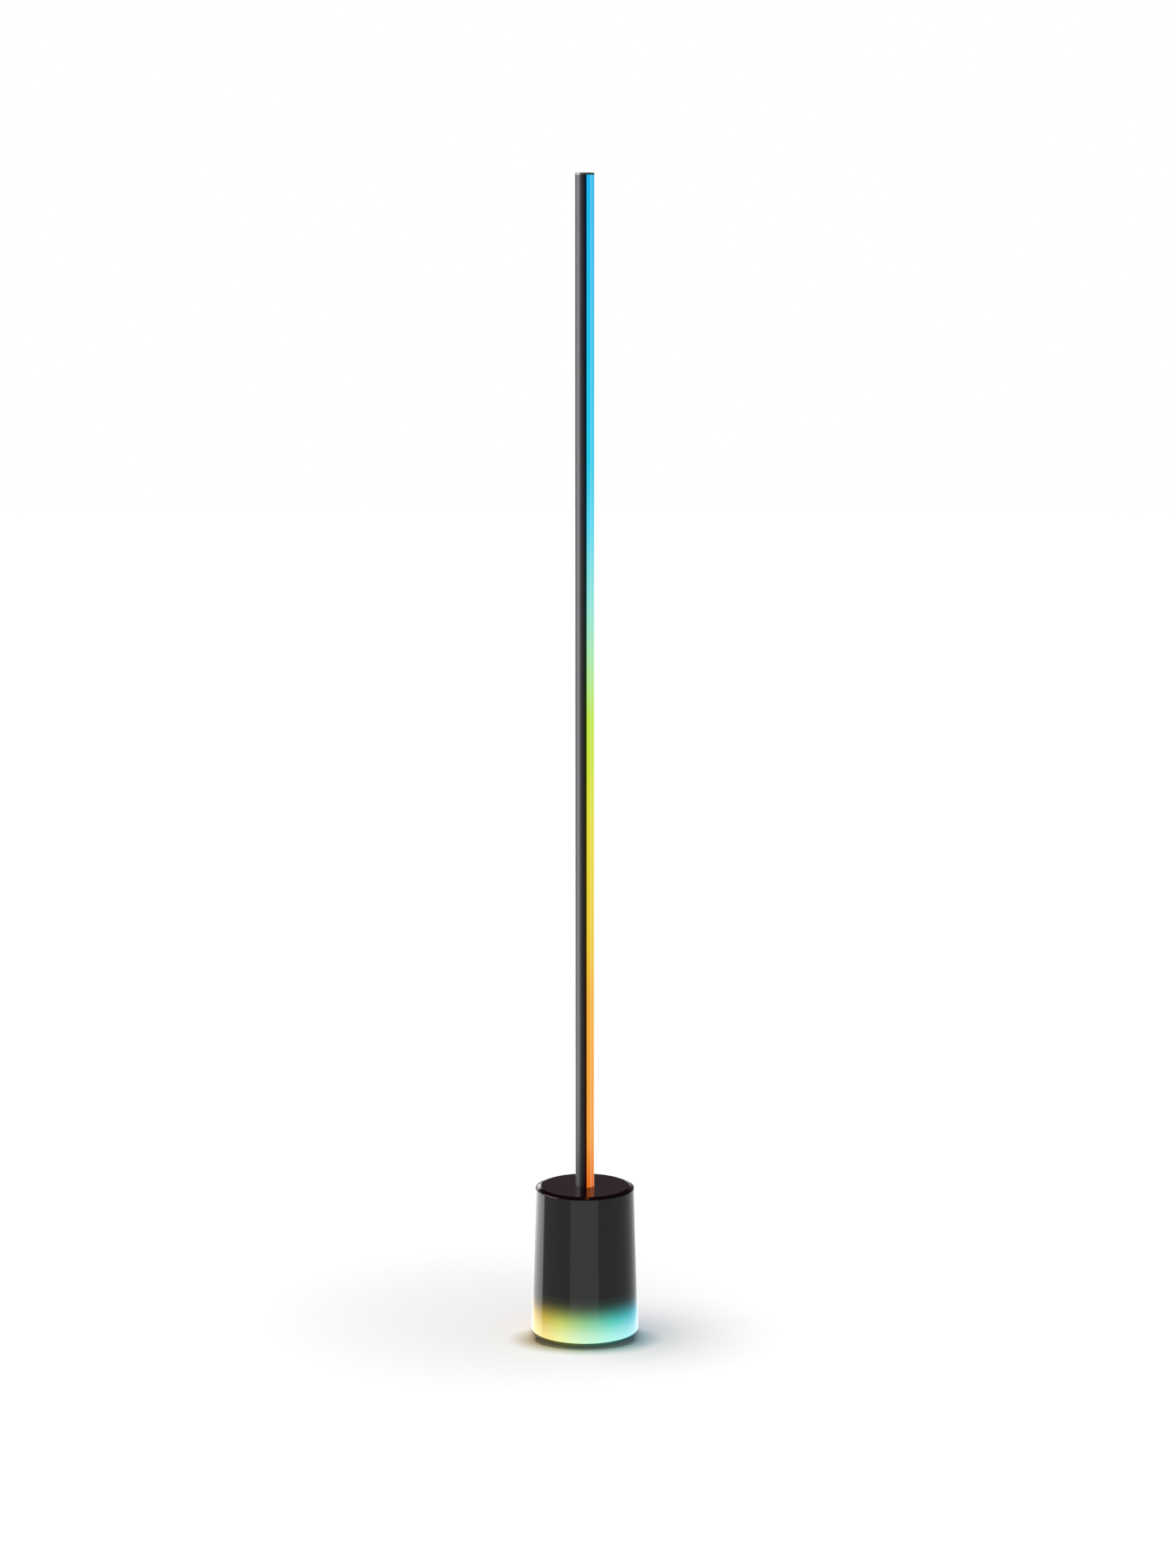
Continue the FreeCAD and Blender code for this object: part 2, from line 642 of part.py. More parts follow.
def make_pole_diffuser():
    """Milky cover of the light channel: an arc with two snap legs, drawn in one length."""
    piece = Piece("pole_diffuser")
    edge = lip_angle - seam_angle
    leg_outer = inner_radius - leg_gap
    leg_inner = leg_outer - leg_wall
    hook = inner_radius + groove_depth - leg_gap
    cover_inner = pole_radius - cover_wall
    root_angle = edge - leg_root
    half = [
        polar(pole_radius, edge),
        polar(leg_outer, edge), left(leg_outer),
        polar(leg_outer, groove_angle - hook_half),
        polar(hook, groove_angle - hook_half), left(hook),
        polar(hook, groove_angle + hook_half),
        polar(leg_inner, groove_angle + hook_half), right(leg_inner),
        polar(leg_inner, root_angle),
        polar(cover_inner, root_angle),
    ]
    section = half + [right(cover_inner)] + mirrored(half) + [left(pole_radius)]
    piece.pad("XY_Plane", [section], pole_bottom, pole_top - pole_bottom)
    return piece


def make_top_cap():
    """Flat cap with a plug in the channel and two pegs in the cable chambers."""
    piece = Piece("top_cap")
    piece.pad("XY_Plane", [circle(0, 0, pole_radius)], pole_top, cap_thickness)
    plug_half = strip_width / 2
    plug = rectangle(-web_front + leg_gap, web_front, -plug_half, plug_half)
    peg_low = rib_width / 2 + leg_gap
    peg = rectangle(-port_place + leg_gap, -web_back - leg_gap, peg_low, peg_low + rib_width / 2)
    piece.pad("XY_Plane", [plug, peg, mirrored(peg)], pole_top, cap_plug, reverse=True)
    return piece


def make_strip():
    """Light strip on the web: its board, its chips in a row and its connector."""
    board = Piece("strip_board")
    half = strip_width / 2
    ground = -web_front
    board.pad("YZ_Plane", [rectangle(-half, half, strip_bottom, strip_top)], ground, strip_thickness)

    chips = Piece("strip_leds")
    surface = ground + strip_thickness
    first = connector_low + connector_length + led_side
    side = led_side / 2
    chip = chips.pad("YZ_Plane", [rectangle(-side, side, first - side, first + side)],
                     surface, led_height)
    row = chips.body.newObject("PartDesign::LinearPattern", "Row")
    row.Originals = [chip]
    row.Direction = (chip.Profile[0], ["V_Axis"])
    gaps = (strip_top - first - led_side) / led_pitch
    row.setExpression("Occurrences", f"floor({gaps.formula}) + 1")
    row.setExpression("Length", f"floor({gaps.formula}) * {led_pitch.formula}")
    chips.body.Tip = row
    doc.recompute()

    connector = Piece("strip_connector")
    width = connector_width / 2
    case = rectangle(-width, width, connector_low, connector_low + connector_length)
    connector.pad("YZ_Plane", [case], surface, connector_height)


def make_pole_plug():
    """Foot plug of the pole, its screw into the port, and the bolt and washer that hold the pole."""
    plug = Piece("pole_plug")
    plug.pad("XY_Plane", [circle(0, 0, pole_radius)], shelf_top, plug_thickness)
    half = strip_width / 2
    spigot = rectangle(-web_front + leg_gap, web_front, -half, half)
    plug.pad("XY_Plane", [spigot], pole_bottom, plug_spigot)
    plug.cut("XY_Plane", [circle(0, 0, pole_bolt_radius + thread_gap)],
             pole_bottom + plug_spigot, plug_thickness + plug_spigot)
    notch = lead_radius + lead_room
    passage = rectangle(lead_place - notch, pole_radius + FAR, -notch, notch)
    plug.cut("XY_Plane", [passage, circle(-port_place, 0, case_screw + pass_gap / 2)],
             pole_bottom, plug_thickness)
    sink = case_head_height
    plug.cut("XY_Plane", [circle(-port_place, 0, case_head)], shelf_top, sink, reverse=True)

    screw = Piece("plug_screw")
    screw.pad("XY_Plane", [circle(-port_place, 0, case_head - thread_gap)], shelf_top + thread_gap,
              sink - thread_gap)
    screw.pad("XY_Plane", [circle(-port_place, 0, case_screw)], shelf_top + sink,
              plug_screw_length)

    bolt = Piece("pole_bolt")
    under = shelf_bottom - washer_thickness
    bolt.pad("XY_Plane", [circle(0, 0, bolt_head)], under, bolt_head_height, reverse=True)
    grip = shelf_thickness + washer_thickness + plug_thickness + plug_spigot - bolt_short
    bolt.pad("XY_Plane", [circle(0, 0, pole_bolt_radius)], under, grip)
    bolt.cut("XY_Plane", [hexagon(key_half)], under - bolt_head_height, key_depth, reverse=True)

    washer = Piece("bolt_washer")
    ring = [circle(0, 0, bolt_head + washer_lap), circle(0, 0, pole_bolt_radius + pass_gap)]
    washer.pad("XY_Plane", ring, under, washer_thickness)


# ---------------------------------------------------------------- drum

def make_base_shell():
    """Tapered shell with a lip for the deck, and bosses at the back for inlet and button."""
    piece = Piece("base_shell")
    piece.turn([
        (skirt_radius, shell_bottom),
        (rim_radius, rim_height),
        (rebate_radius, rim_height),
        (rebate_radius, lip_top),
        (rebate_radius - lip_reach, lip_top),
        (rebate_radius - lip_reach, lip_bottom),
        (shell_radius(lip_bottom) - shell_wall, lip_bottom),
        (skirt_radius - shell_wall, shell_bottom),
    ])
    button_at = (0, button_height)
    inlet_at = (0, inlet_height)
    inlet_boss = inlet_flange + inlet_boss_lap
    button_boss = bezel_radius + button_boss_lap
    piece.pad("XZ_Plane", [circle(*inlet_at, inlet_boss)], rear(inlet_face), boss_depth)
    piece.pad("XZ_Plane", [circle(*button_at, button_boss)], rear(button_seat), boss_depth)
    pillar_start = button_seat - pillar_sink
    piece.pad("XZ_Plane", pillar_places(pillar_radius), rear(pillar_start),
              pillar_start - button_board_back)
    piece.cut("XZ_Plane", pillar_places(small_screw + thread_gap), rear(button_board_back), pilot_depth)
    piece.cut("XZ_Plane", [circle(*inlet_at, inlet_flange + pass_gap)], rear(inlet_face), FAR)
    piece.cut("XZ_Plane", [circle(*button_at, bezel_radius + pass_gap)], rear(button_seat), FAR)
    piece.cut("XZ_Plane", [circle(*inlet_at, inlet_barrel + thread_gap)],
              rear(inlet_face - boss_depth), boss_depth)
    piece.cut("XZ_Plane", [circle(*button_at, button_radius + button_gap)],
              rear(button_boss_face), boss_depth)
    return piece


def make_deck():
    """Raised deck with a sloping edge, three bosses below, and its screws."""
    deck = Piece("deck_disc")
    disc_radius = rebate_radius - deck_gap
    hole = pole_radius + deck_gap
    deck.turn([
        (hole, deck_top),
        (hole, deck_under),
        (disc_radius - deck_foot_width, deck_under),
        (disc_radius - deck_foot_width, lip_top),
        (disc_radius, lip_top),
        (disc_radius, rim_height),
        (disc_radius - bevel_width, deck_top),
    ])
    boss_length = deck_under - lip_bottom
    deck.pad("XY_Plane", bosses(boss_radius), lip_bottom, boss_length)
    deck.cut("XY_Plane", bosses(case_screw + thread_gap), lip_bottom, boss_length - boss_floor,
             reverse=True)

    screws = Piece("deck_screws")
    screws.pad("XY_Plane", bosses(case_head), plate_bottom, case_head_height, reverse=True)
    screws.pad("XY_Plane", bosses(case_screw), plate_bottom, chassis_plate + deck_screw_hold)


def make_chassis():
    """Inner drum on three posts, with a window behind the inlet and lugs for the board."""
    piece = Piece("chassis")
    bore = column_radius + column_gap
    piece.turn([
        (bore, lip_bottom),
        (chassis_radius(lip_bottom), lip_bottom),
        (chassis_radius(chassis_bottom), chassis_bottom),
        (chassis_radius(chassis_bottom) - chassis_wall, chassis_bottom),
        (chassis_radius(plate_bottom) - chassis_wall, plate_bottom),
        (bore, plate_bottom),
    ])
    piece.pad("XY_Plane", posts(post_radius), weight_top, plate_bottom - weight_top)
    high = board_high - lug_side
    lugs = []
    for side in SIDES:
        outer = post_circle * cosine(POST_ANGLE)
        inner = board_half - lug_side / 2
        ends = (side * outer, side * inner) if side < 0 else (inner, outer)
        for low in (board_low, high):
            lugs.append(rectangle(*ends, low, low + lug_side))
    piece.pad("XZ_Plane", lugs, rear(board_back + lug_depth), lug_depth)
    piece.cut("XZ_Plane", board_places(small_screw + thread_gap), rear(board_back), lug_depth)
    piece.cut("XY_Plane", posts(heavy_screw + thread_gap), weight_top, tapped_depth, reverse=True)
    piece.cut("XY_Plane", bosses(case_screw + pass_gap), lip_bottom, chassis_plate)
    window = rectangle(-window_half, window_half, chassis_bottom - FAR, window_top)
    piece.cut("XZ_Plane", [window], rear(post_circle), skirt_radius - post_circle)
    return piece


def make_column():
    """Steel column on the counterweight, with a shelf that the pole stands on, and its screws."""
    piece = Piece("column")
    socket = pole_radius + socket_gap
    flange_top = weight_top + flange_thickness
    bolt_hole = pole_bolt_radius + pass_gap
    piece.turn([
        (socket, deck_under - deck_gap),
        (column_radius, deck_under - deck_gap),
        (column_radius, flange_top),
        (flange_radius, flange_top),
        (flange_radius, weight_top),
        (column_bore, weight_top),
        (column_bore, shelf_bottom),
        (bolt_hole, shelf_bottom),
        (bolt_hole, shelf_top),
        (socket, shelf_top),
    ])
    piece.cut("XY_Plane", [circle(lead_place, 0, lead_radius + lead_room)], shelf_top, shelf_thickness)
    piece.cut("XY_Plane", flange_places(bolt_hole), flange_top, flange_thickness)
    slot = rectangle(-lead_slot_half, lead_slot_half, slot_low, slot_top)
    piece.cut("YZ_Plane", [slot], column_bore / 2, FAR, reverse=True)

    screws = Piece("column_screws")
    screws.pad("XY_Plane", flange_places(bolt_head), flange_top, bolt_head_height)
    screws.pad("XY_Plane", flange_places(pole_bolt_radius), flange_top,
               flange_thickness + flange_screw_hold, reverse=True)
    sockets = [hexagon(key_half, x, y) for x, y, radius in flange_places(bolt_head)]
    screws.cut("XY_Plane", sockets, flange_top + bolt_head_height, key_depth)


def make_counterweight():
    """Cast weight that carries the column and the posts, and the screws that come up through it."""
    piece = Piece("counterweight")
    piece.turn([
        (weight_bore, pan_floor),
        (weight_radius - weight_corner, pan_floor),
        (weight_radius, pan_floor + weight_corner),
        (weight_radius, weight_top - weight_corner),
        (weight_radius - weight_corner, weight_top),
        (weight_bore, weight_top),
    ])
    piece.cut("XY_Plane", flange_places(pole_bolt_radius + thread_gap), weight_top, tapped_depth)
    piece.cut("XY_Plane", posts(heavy_screw + pass_gap), weight_top, weight_height)
    sink = heavy_head_height + pass_gap
    piece.cut("XY_Plane", posts(heavy_head + pass_gap), pan_floor, sink, reverse=True)
    piece.cut("XY_Plane", pan_places(case_screw + thread_gap), pan_floor, tapped_depth, reverse=True)

    screws = Piece("post_screws")
    screws.pad("XY_Plane", posts(heavy_head), pan_floor + sink, heavy_head_height, reverse=True)
    screws.pad("XY_Plane", posts(heavy_screw), pan_floor + sink,
               weight_height - sink + post_screw_hold)


def make_pan():
    """Base pan that closes the drum, its pad on the floor, and its screws."""
    piece = Piece("base_pan")
    step_outer = glow_radius(step_height)
    piece.turn([
        (access_radius, pan_bottom),
        (foot_radius, pan_bottom),
        (foot_radius, shell_bottom - seat_width),
        (foot_radius + seat_width, shell_bottom),
        (step_outer, shell_bottom),
        (step_outer, step_height),
        (step_inner, step_height),
        (step_inner, pan_floor),
        (access_radius, pan_floor),
    ])
    recess = pad_thickness - pan_bottom
    ring = [circle(0, 0, pad_outer + pad_gap), circle(0, 0, pad_inner - pad_gap)]
    piece.cut("XY_Plane", ring, pan_bottom, recess, reverse=True)
    sink = case_head_height + pass_gap / 2
    piece.cut("XY_Plane", pan_places(case_screw + pass_gap), pan_floor, pan_floor - pan_bottom)
    piece.cut("XY_Plane", pan_places(case_head + pass_gap), pan_bottom, sink, reverse=True)
    piece.cut("XY_Plane", glow_places(small_screw + thread_gap), step_height, glow_screw_length)

    pad = Piece("foot_pad")
    pad.pad("XY_Plane", [circle(0, 0, pad_outer), circle(0, 0, pad_inner)], 0, pad_thickness)

    screws = Piece("pan_screws")
    head_top = pan_bottom + sink
    screws.pad("XY_Plane", pan_places(case_head), head_top, case_head_height, reverse=True)
    screws.pad("XY_Plane", pan_places(case_screw), head_top, pan_screw_length)


def make_glow():
    """Milky skirt inside the shell, the ring board below it, its light chips and its screws."""
    skirt = Piece("glow_diffuser")
    low = glow_radius(step_height)
    high = glow_radius(glow_height)
    skirt.turn([
        (low, step_height),
        (high, glow_height),
        (high - glow_wall, glow_height),
        (low - glow_wall, step_height),
    ])

    board = Piece("glow_board")
    ring = [circle(0, 0, glow_board_outer), circle(0, 0, glow_board_inner)]
    board.pad("XY_Plane", ring + glow_places(small_screw + pass_gap / 2), step_height,
              glow_board_wall)

    chips = Piece("glow_leds")
    surface = step_height + glow_board_wall
    side = led_side / 2
    chip = chips.pad("XY_Plane", [rectangle(glow_circle - side, glow_circle + side, -side, side)],
                     surface, led_height)
    ring_of_chips = chips.body.newObject("PartDesign::PolarPattern", "Ring")
    ring_of_chips.Originals = [chip]
    ring_of_chips.Axis = (chip.Profile[0], ["N_Axis"])
    ring_of_chips.Angle = 360
    ring_of_chips.setExpression("Occurrences", glow_count.formula)
    chips.body.Tip = ring_of_chips
    doc.recompute()

    screws = Piece("glow_screws")
    screws.pad("XY_Plane", glow_places(small_head), surface, small_head_height)
    screws.pad("XY_Plane", glow_places(small_screw), surface, glow_screw_length, reverse=True)


# ---------------------------------------------------------------- electronics

def make_control_board():
    """Upright control board between two posts, what is soldered on it, and its screws."""
    board = Piece("control_board")
    plate = rectangle(-board_half, board_half, board_low, board_high)
    board.pad("XZ_Plane", [plate] + board_places(small_screw + pass_gap / 2), rear(board_back),
              board_wall)

    parts = Piece("board_parts")
    headers = [header_outline(place) for place in (POWER_HEADER, BUTTON_HEADER, GLOW_HEADER)]
    parts.pad("XZ_Plane", headers, rear(board_back + header_height), header_height)
    chips = [outline_about(CONTROLLER, controller_half, controller_half),
             outline_about(DRIVER, driver_half, driver_half)]
    parts.pad("XZ_Plane", chips, rear(board_back + chip_height), chip_height)
    parts.pad("XZ_Plane", [header_outline(STRIP_HEADER)], rear(board_front), header_height)
    parts.pad("XZ_Plane", [circle(*CAPACITOR, capacitor_radius)], rear(board_back + capacitor_height),
              capacitor_height)

    screws = Piece("board_screws")
    screws.pad("XZ_Plane", board_places(small_head), rear(board_front), small_head_height)
    screws.pad("XZ_Plane", board_places(small_screw), rear(board_front + board_screw_length),
               board_screw_length)


def outline_about(place, half_width, half_height):
    """Give a rectangle about its middle."""
    x, z = place
    return rectangle(x - half_width, x + half_width, z - half_height, z + half_height)


def header_outline(place):
    """Give the outline of a header about its middle."""
    return outline_about(place, header_half, header_half_height)


def make_inlet():
    """Low-voltage inlet through the back of the shell: its body, pin and nut."""
    jack = Piece("inlet_jack")
    outer_face = inlet_face + inlet_flange_wall
    at = (0, inlet_height)
    jack.pad("XZ_Plane", [circle(*at, inlet_flange)], rear(outer_face), inlet_flange_wall)
    jack.pad("XZ_Plane", [circle(*at, inlet_barrel)], rear(inlet_face), inlet_barrel_length)
    tail = outline_about(at, tail_half, tail_half)
    jack.pad("XZ_Plane", [tail], rear(inlet_face - inlet_barrel_length), inlet_tail)
    floor = outer_face - inlet_depth
    jack.cut("XZ_Plane", [circle(*at, inlet_bore)], rear(floor), inlet_depth)

    pin = Piece("inlet_pin")
    pin.pad("XZ_Plane", [circle(*at, inlet_pin_radius)], rear(outer_face - pin_recess),
            inlet_depth - pin_recess)

    nut = Piece("inlet_nut")
    seat = inlet_face - boss_depth
    nut.pad("XZ_Plane", [hexagon(nut_half, 0, inlet_height),
                         circle(*at, inlet_barrel + thread_gap)], rear(seat), nut_thickness)


def make_button():
    """Power button in its bezel, and the small board and switch behind it."""
    at = (0, button_height)
    bezel_face = button_seat + bezel_wall
    bezel = Piece("button_bezel")
    bezel.pad("XZ_Plane", [circle(*at, bezel_radius), circle(*at, button_radius + button_gap)],
              rear(bezel_face), bezel_wall)

    button = Piece("power_button")
    button_face = bezel_face + button_proud
    collar_face = button_boss_face - button_gap
    button.pad("XZ_Plane", [circle(*at, button_radius)], rear(button_face), button_face - collar_face)
    button.pad("XZ_Plane", [circle(*at, collar_radius)], rear(collar_face), collar_wall)
    stem_start = collar_face - collar_wall
    button.pad("XZ_Plane", [circle(*at, stem_radius)], rear(stem_start), stem_start - plunger_face)
    button.bevel_face(button_chamfer, button_face)

    plunger = Piece("switch_plunger")
    inside = button_travel + plunger_hold
    plunger.pad("XZ_Plane", [circle(*at, plunger_radius)], rear(plunger_face), plunger_proud + inside)

    switch = Piece("switch_body")
    switch.pad("XZ_Plane", [outline_about(at, switch_side / 2, switch_side / 2)],
               rear(switch_face), switch_depth)
    depth = inside + button_travel + plunger_room
    switch.cut("XZ_Plane", [circle(*at, plunger_radius + button_gap)], rear(switch_face - depth), depth)

    board = Piece("button_board")
    plate = outline_about(at, button_board_half, button_board_high)
    board.pad("XZ_Plane", [plate] + pillar_places(small_screw + pass_gap / 2),
              rear(button_board_back), button_board_wall)

    screws = Piece("button_screws")
    inner_face = button_board_back - button_board_wall
    screws.pad("XZ_Plane", pillar_places(small_head), rear(inner_face), small_head_height)
    screws.pad("XZ_Plane", pillar_places(small_screw), rear(inner_face + button_screw_length),
               button_screw_length)


# ---------------------------------------------------------------- inner leads

LEAD_SIDES = 8
RUN_SHARE = 0.45


def lead_path(*points):
    """Join straight runs by arcs as large as the runs allow, and give the path and the radii."""
    spots = [FreeCAD.Vector(*[number(value) for value in point]) for point in points]
    edges, start, radii = [], spots[0], []
    for before, corner, after in zip(spots, spots[1:], spots[2:]):
        incoming = (corner - before).normalize()
        outgoing = (after - corner).normalize()
        turn = incoming.getAngle(outgoing)
        reach = RUN_SHARE * min((corner - before).Length, (after - corner).Length)
        radius = reach / math.tan(turn / 2)
        radii.append(radius)
        enter = corner - incoming * reach
        leave = corner + outgoing * reach
        inward = (outgoing - incoming).normalize()
        centre = corner + inward * (radius / math.cos(turn / 2))
        edges.append(Part.LineSegment(start, enter).toShape())
        edges.append(Part.Arc(enter, centre - inward * radius, leave).toShape())
        start = leave
    edges.append(Part.LineSegment(start, spots[-1]).toShape())
    return Part.Wire(edges), radii


def lead(label, *points):
    """Draw an eight-sided section, which keeps the inner leads light, along a lead's path."""
    path, radii = lead_path(*points)
    start = path.OrderedEdges[0]
    along = start.tangentAt(start.FirstParameter)
    across = FreeCAD.Vector(1, 0, 0) if abs(along.x) < 0.5 else FreeCAD.Vector(0, 1, 0)
    spoke = across * number(lead_radius)
    origin = start.valueAt(start.FirstParameter)
    ring = []
    for index in range(LEAD_SIDES + 1):
        ring.append(origin + FreeCAD.Rotation(along, 360 * index / LEAD_SIDES).multVec(spoke))
    tube = path.makePipeShell([Part.makePolygon(ring)], True, False)
    expected = Part.Face(Part.makePolygon(ring)).Area * path.Length
    if abs(tube.Volume / expected - 1) > 0.01:
        raise RuntimeError(f"{label}: the tube's volume is {tube.Volume / expected:.3f} of its length's")
    print(f"{label}: {path.Length:.0f} mm, radii", ", ".join(f"{value:.1f}" for value in radii))
    piece = doc.addObject("Part::Feature", label)
    piece.Label = label
    piece.Shape = tube
    piece.Placement = FreeCAD.Placement()
    pieces.append(piece)


def make_leads():
    """Four leads between the boards, inside the drum and up the pole."""
    header_face = board_back + header_height
    power_x, power_z = POWER_HEADER
    jack_end = inlet_face - inlet_barrel_length - inlet_tail
    lead("inlet_lead",
         (0, jack_end, inlet_height), (0, jack_end - lead_exit, inlet_height),
         (power_x, header_face + lead_exit, power_z), (power_x, header_face, power_z))
    button_x, button_z = BUTTON_HEADER
    board_inner = button_board_back - button_board_wall
    start_z = button_height - button_board_high / 2
    lead("button_lead",
         (button_x, board_inner, start_z), (button_x, board_inner - lead_exit, start_z),
         (button_x, header_face + lead_exit, button_z), (button_x, header_face, button_z))
    glow_x, glow_z = GLOW_HEADER
    riser = glow_board_inner + lead_radius + pass_gap
    across, along = polar(riser, GLOW_LEAD_ANGLE)
    lead("glow_lead",
         (across, along, step_height + glow_board_wall), (across, along, weight_top + lead_exit),
         (glow_x, header_face + lead_exit, glow_z), (glow_x, header_face, glow_z))
    strip_x, strip_z = STRIP_HEADER
    strip_face = board_front - header_height
    connector_middle = connector_height / 2 - web_front + strip_thickness
    lead("strip_lead",
         (strip_x, strip_face, strip_z), (strip_x, strip_face - lead_exit, strip_z),
         (strip_x - lead_sway, 0, slot_low), (lead_place, 0, slot_top - strip_margin),
         (lead_place, 0, pole_bottom + plug_spigot),
         (connector_middle, 0, connector_low - lead_end), (connector_middle, 0, connector_low))


# ---------------------------------------------------------------- build and write

make_pole_extrusion()
make_pole_diffuser()
make_top_cap()
make_strip()
make_pole_plug()
make_base_shell()
make_deck()
make_chassis()
make_column()
make_counterweight()
make_pan()
make_glow()
make_control_board()
make_inlet()
make_button()
make_leads()
doc.recompute()

for item in doc.Objects:
    if {"Invalid", "Error"} & set(item.State):
        raise RuntimeError(f"{item.Label} ({item.Name}) failed: {item.State}")
for piece in pieces:
    if piece.Shape.isNull() or not piece.Shape.isValid():
        raise RuntimeError(f"{piece.Label} has no sound shape")
for piece in pieces:
    piece.Shape.exportStep(f"parts/{piece.Label}.step")
    print(f"{piece.Label}: {len(piece.Shape.Solids)} solid(s), {piece.Shape.Volume / 1000:.2f} cm3")
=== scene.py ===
# %% [markdown]
# # A corner floor lamp: slim lit pole on a weighted, glowing drum
#
# This notebook dresses a lamp whose working pieces are already modelled. It adds what a
# photograph shows and a plain solid lacks: the anodised pole with its milky light cover, the
# gloss drum and deck, and the coloured glow at the foot. Every length is in metres, the floor is
# at Z = 0, the front is towards -Y, and the pole's light faces +X.

import math

import bmesh
import bpy
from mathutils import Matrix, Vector


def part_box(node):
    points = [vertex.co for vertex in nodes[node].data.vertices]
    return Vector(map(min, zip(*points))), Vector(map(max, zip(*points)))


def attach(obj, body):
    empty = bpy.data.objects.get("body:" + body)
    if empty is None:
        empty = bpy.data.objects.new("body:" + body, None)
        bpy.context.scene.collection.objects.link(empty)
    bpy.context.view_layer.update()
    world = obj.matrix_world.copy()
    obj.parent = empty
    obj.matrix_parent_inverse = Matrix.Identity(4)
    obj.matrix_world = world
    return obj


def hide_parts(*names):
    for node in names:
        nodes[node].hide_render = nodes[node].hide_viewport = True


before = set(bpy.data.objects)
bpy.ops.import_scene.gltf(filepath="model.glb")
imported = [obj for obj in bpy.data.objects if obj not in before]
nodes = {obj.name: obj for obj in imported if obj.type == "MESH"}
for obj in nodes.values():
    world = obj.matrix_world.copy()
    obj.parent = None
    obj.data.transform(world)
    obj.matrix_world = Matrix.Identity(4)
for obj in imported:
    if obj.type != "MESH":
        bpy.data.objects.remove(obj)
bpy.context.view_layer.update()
MM = 0.001

# %% [markdown]
# ## The camera first
#
# The two edges of the pole run together slightly towards the floor, so the photograph was taken
# looking down by a few degrees, not with a shifted lens. The deck's ellipse and the foot's
# ellipse give the height, and the pole's taper gives the distance. An empty scene with the right
# camera is the cheapest place to test a proportion, so it comes before any surface.

# %% Camera
CAMERA_PLACE = (0.0039, -3.9327, 1.2735)
CAMERA_PITCH = math.radians(8.45)
CAMERA_LENS = 75.1
FILM_HEIGHT = 36.0


def make_camera():
    """Stand the camera in front of the lamp, looking down a little."""
    data = bpy.data.cameras.new("camera")
    data.sensor_fit = "VERTICAL"
    data.sensor_height = FILM_HEIGHT
    data.lens = CAMERA_LENS
    camera = bpy.data.objects.new("camera", data)
    camera.location = CAMERA_PLACE
    camera.rotation_euler = (math.pi / 2 - CAMERA_PITCH, 0, 0)
    bpy.context.scene.collection.objects.link(camera)
    bpy.context.scene.camera = camera


make_camera()
bpy.context.scene.view_settings.view_transform = "Standard"
print("camera stands", -CAMERA_PLACE[1], "m away, looking down",
      round(math.degrees(CAMERA_PITCH), 1), "degrees")

# %% [markdown]
# ## Node maths as plain expressions
#
# A finish is a formula over the surface, and formulas read best as formulas. `Value` wraps one
# output socket: adding, subtracting, multiplying or dividing two of them, or raising one to a
# power, adds a Math node. The reflected forms let `1.0 - mask` work too.

# %% Sockets that can be calculated with
class Value:
    """One output socket, with arithmetic."""

    def __init__(self, recipe, socket):
        self.recipe = recipe
        self.socket = socket

    def __add__(self, other):
        return self.recipe.maths("ADD", self, other)

    def __sub__(self, other):
        return self.recipe.maths("SUBTRACT", self, other)

    def __rsub__(self, other):
        return self.recipe.maths("SUBTRACT", other, self)

    def __mul__(self, other):
        return self.recipe.maths("MULTIPLY", self, other)

    def __truediv__(self, other):
        return self.recipe.maths("DIVIDE", self, other)

    def __pow__(self, other):
        return self.recipe.maths("POWER", self, other)

    __radd__ = __add__
    __rmul__ = __mul__


print("sockets can be added, subtracted, multiplied, divided and raised to a power")

# %% [markdown]
# ## A recipe that makes any node
#
# `Recipe.node` makes any node from its type, its settings and its inputs, and gives its output
# back as a `Value`. Fades, ramps and mixes come up in every finish, so they have short names of
# their own. The same class serves for materials, for Geometry Nodes and for the studio's light.

# %% Recipe
BLACK = (0.0, 0.0, 0.0)
WHITE = (1.0, 1.0, 1.0)


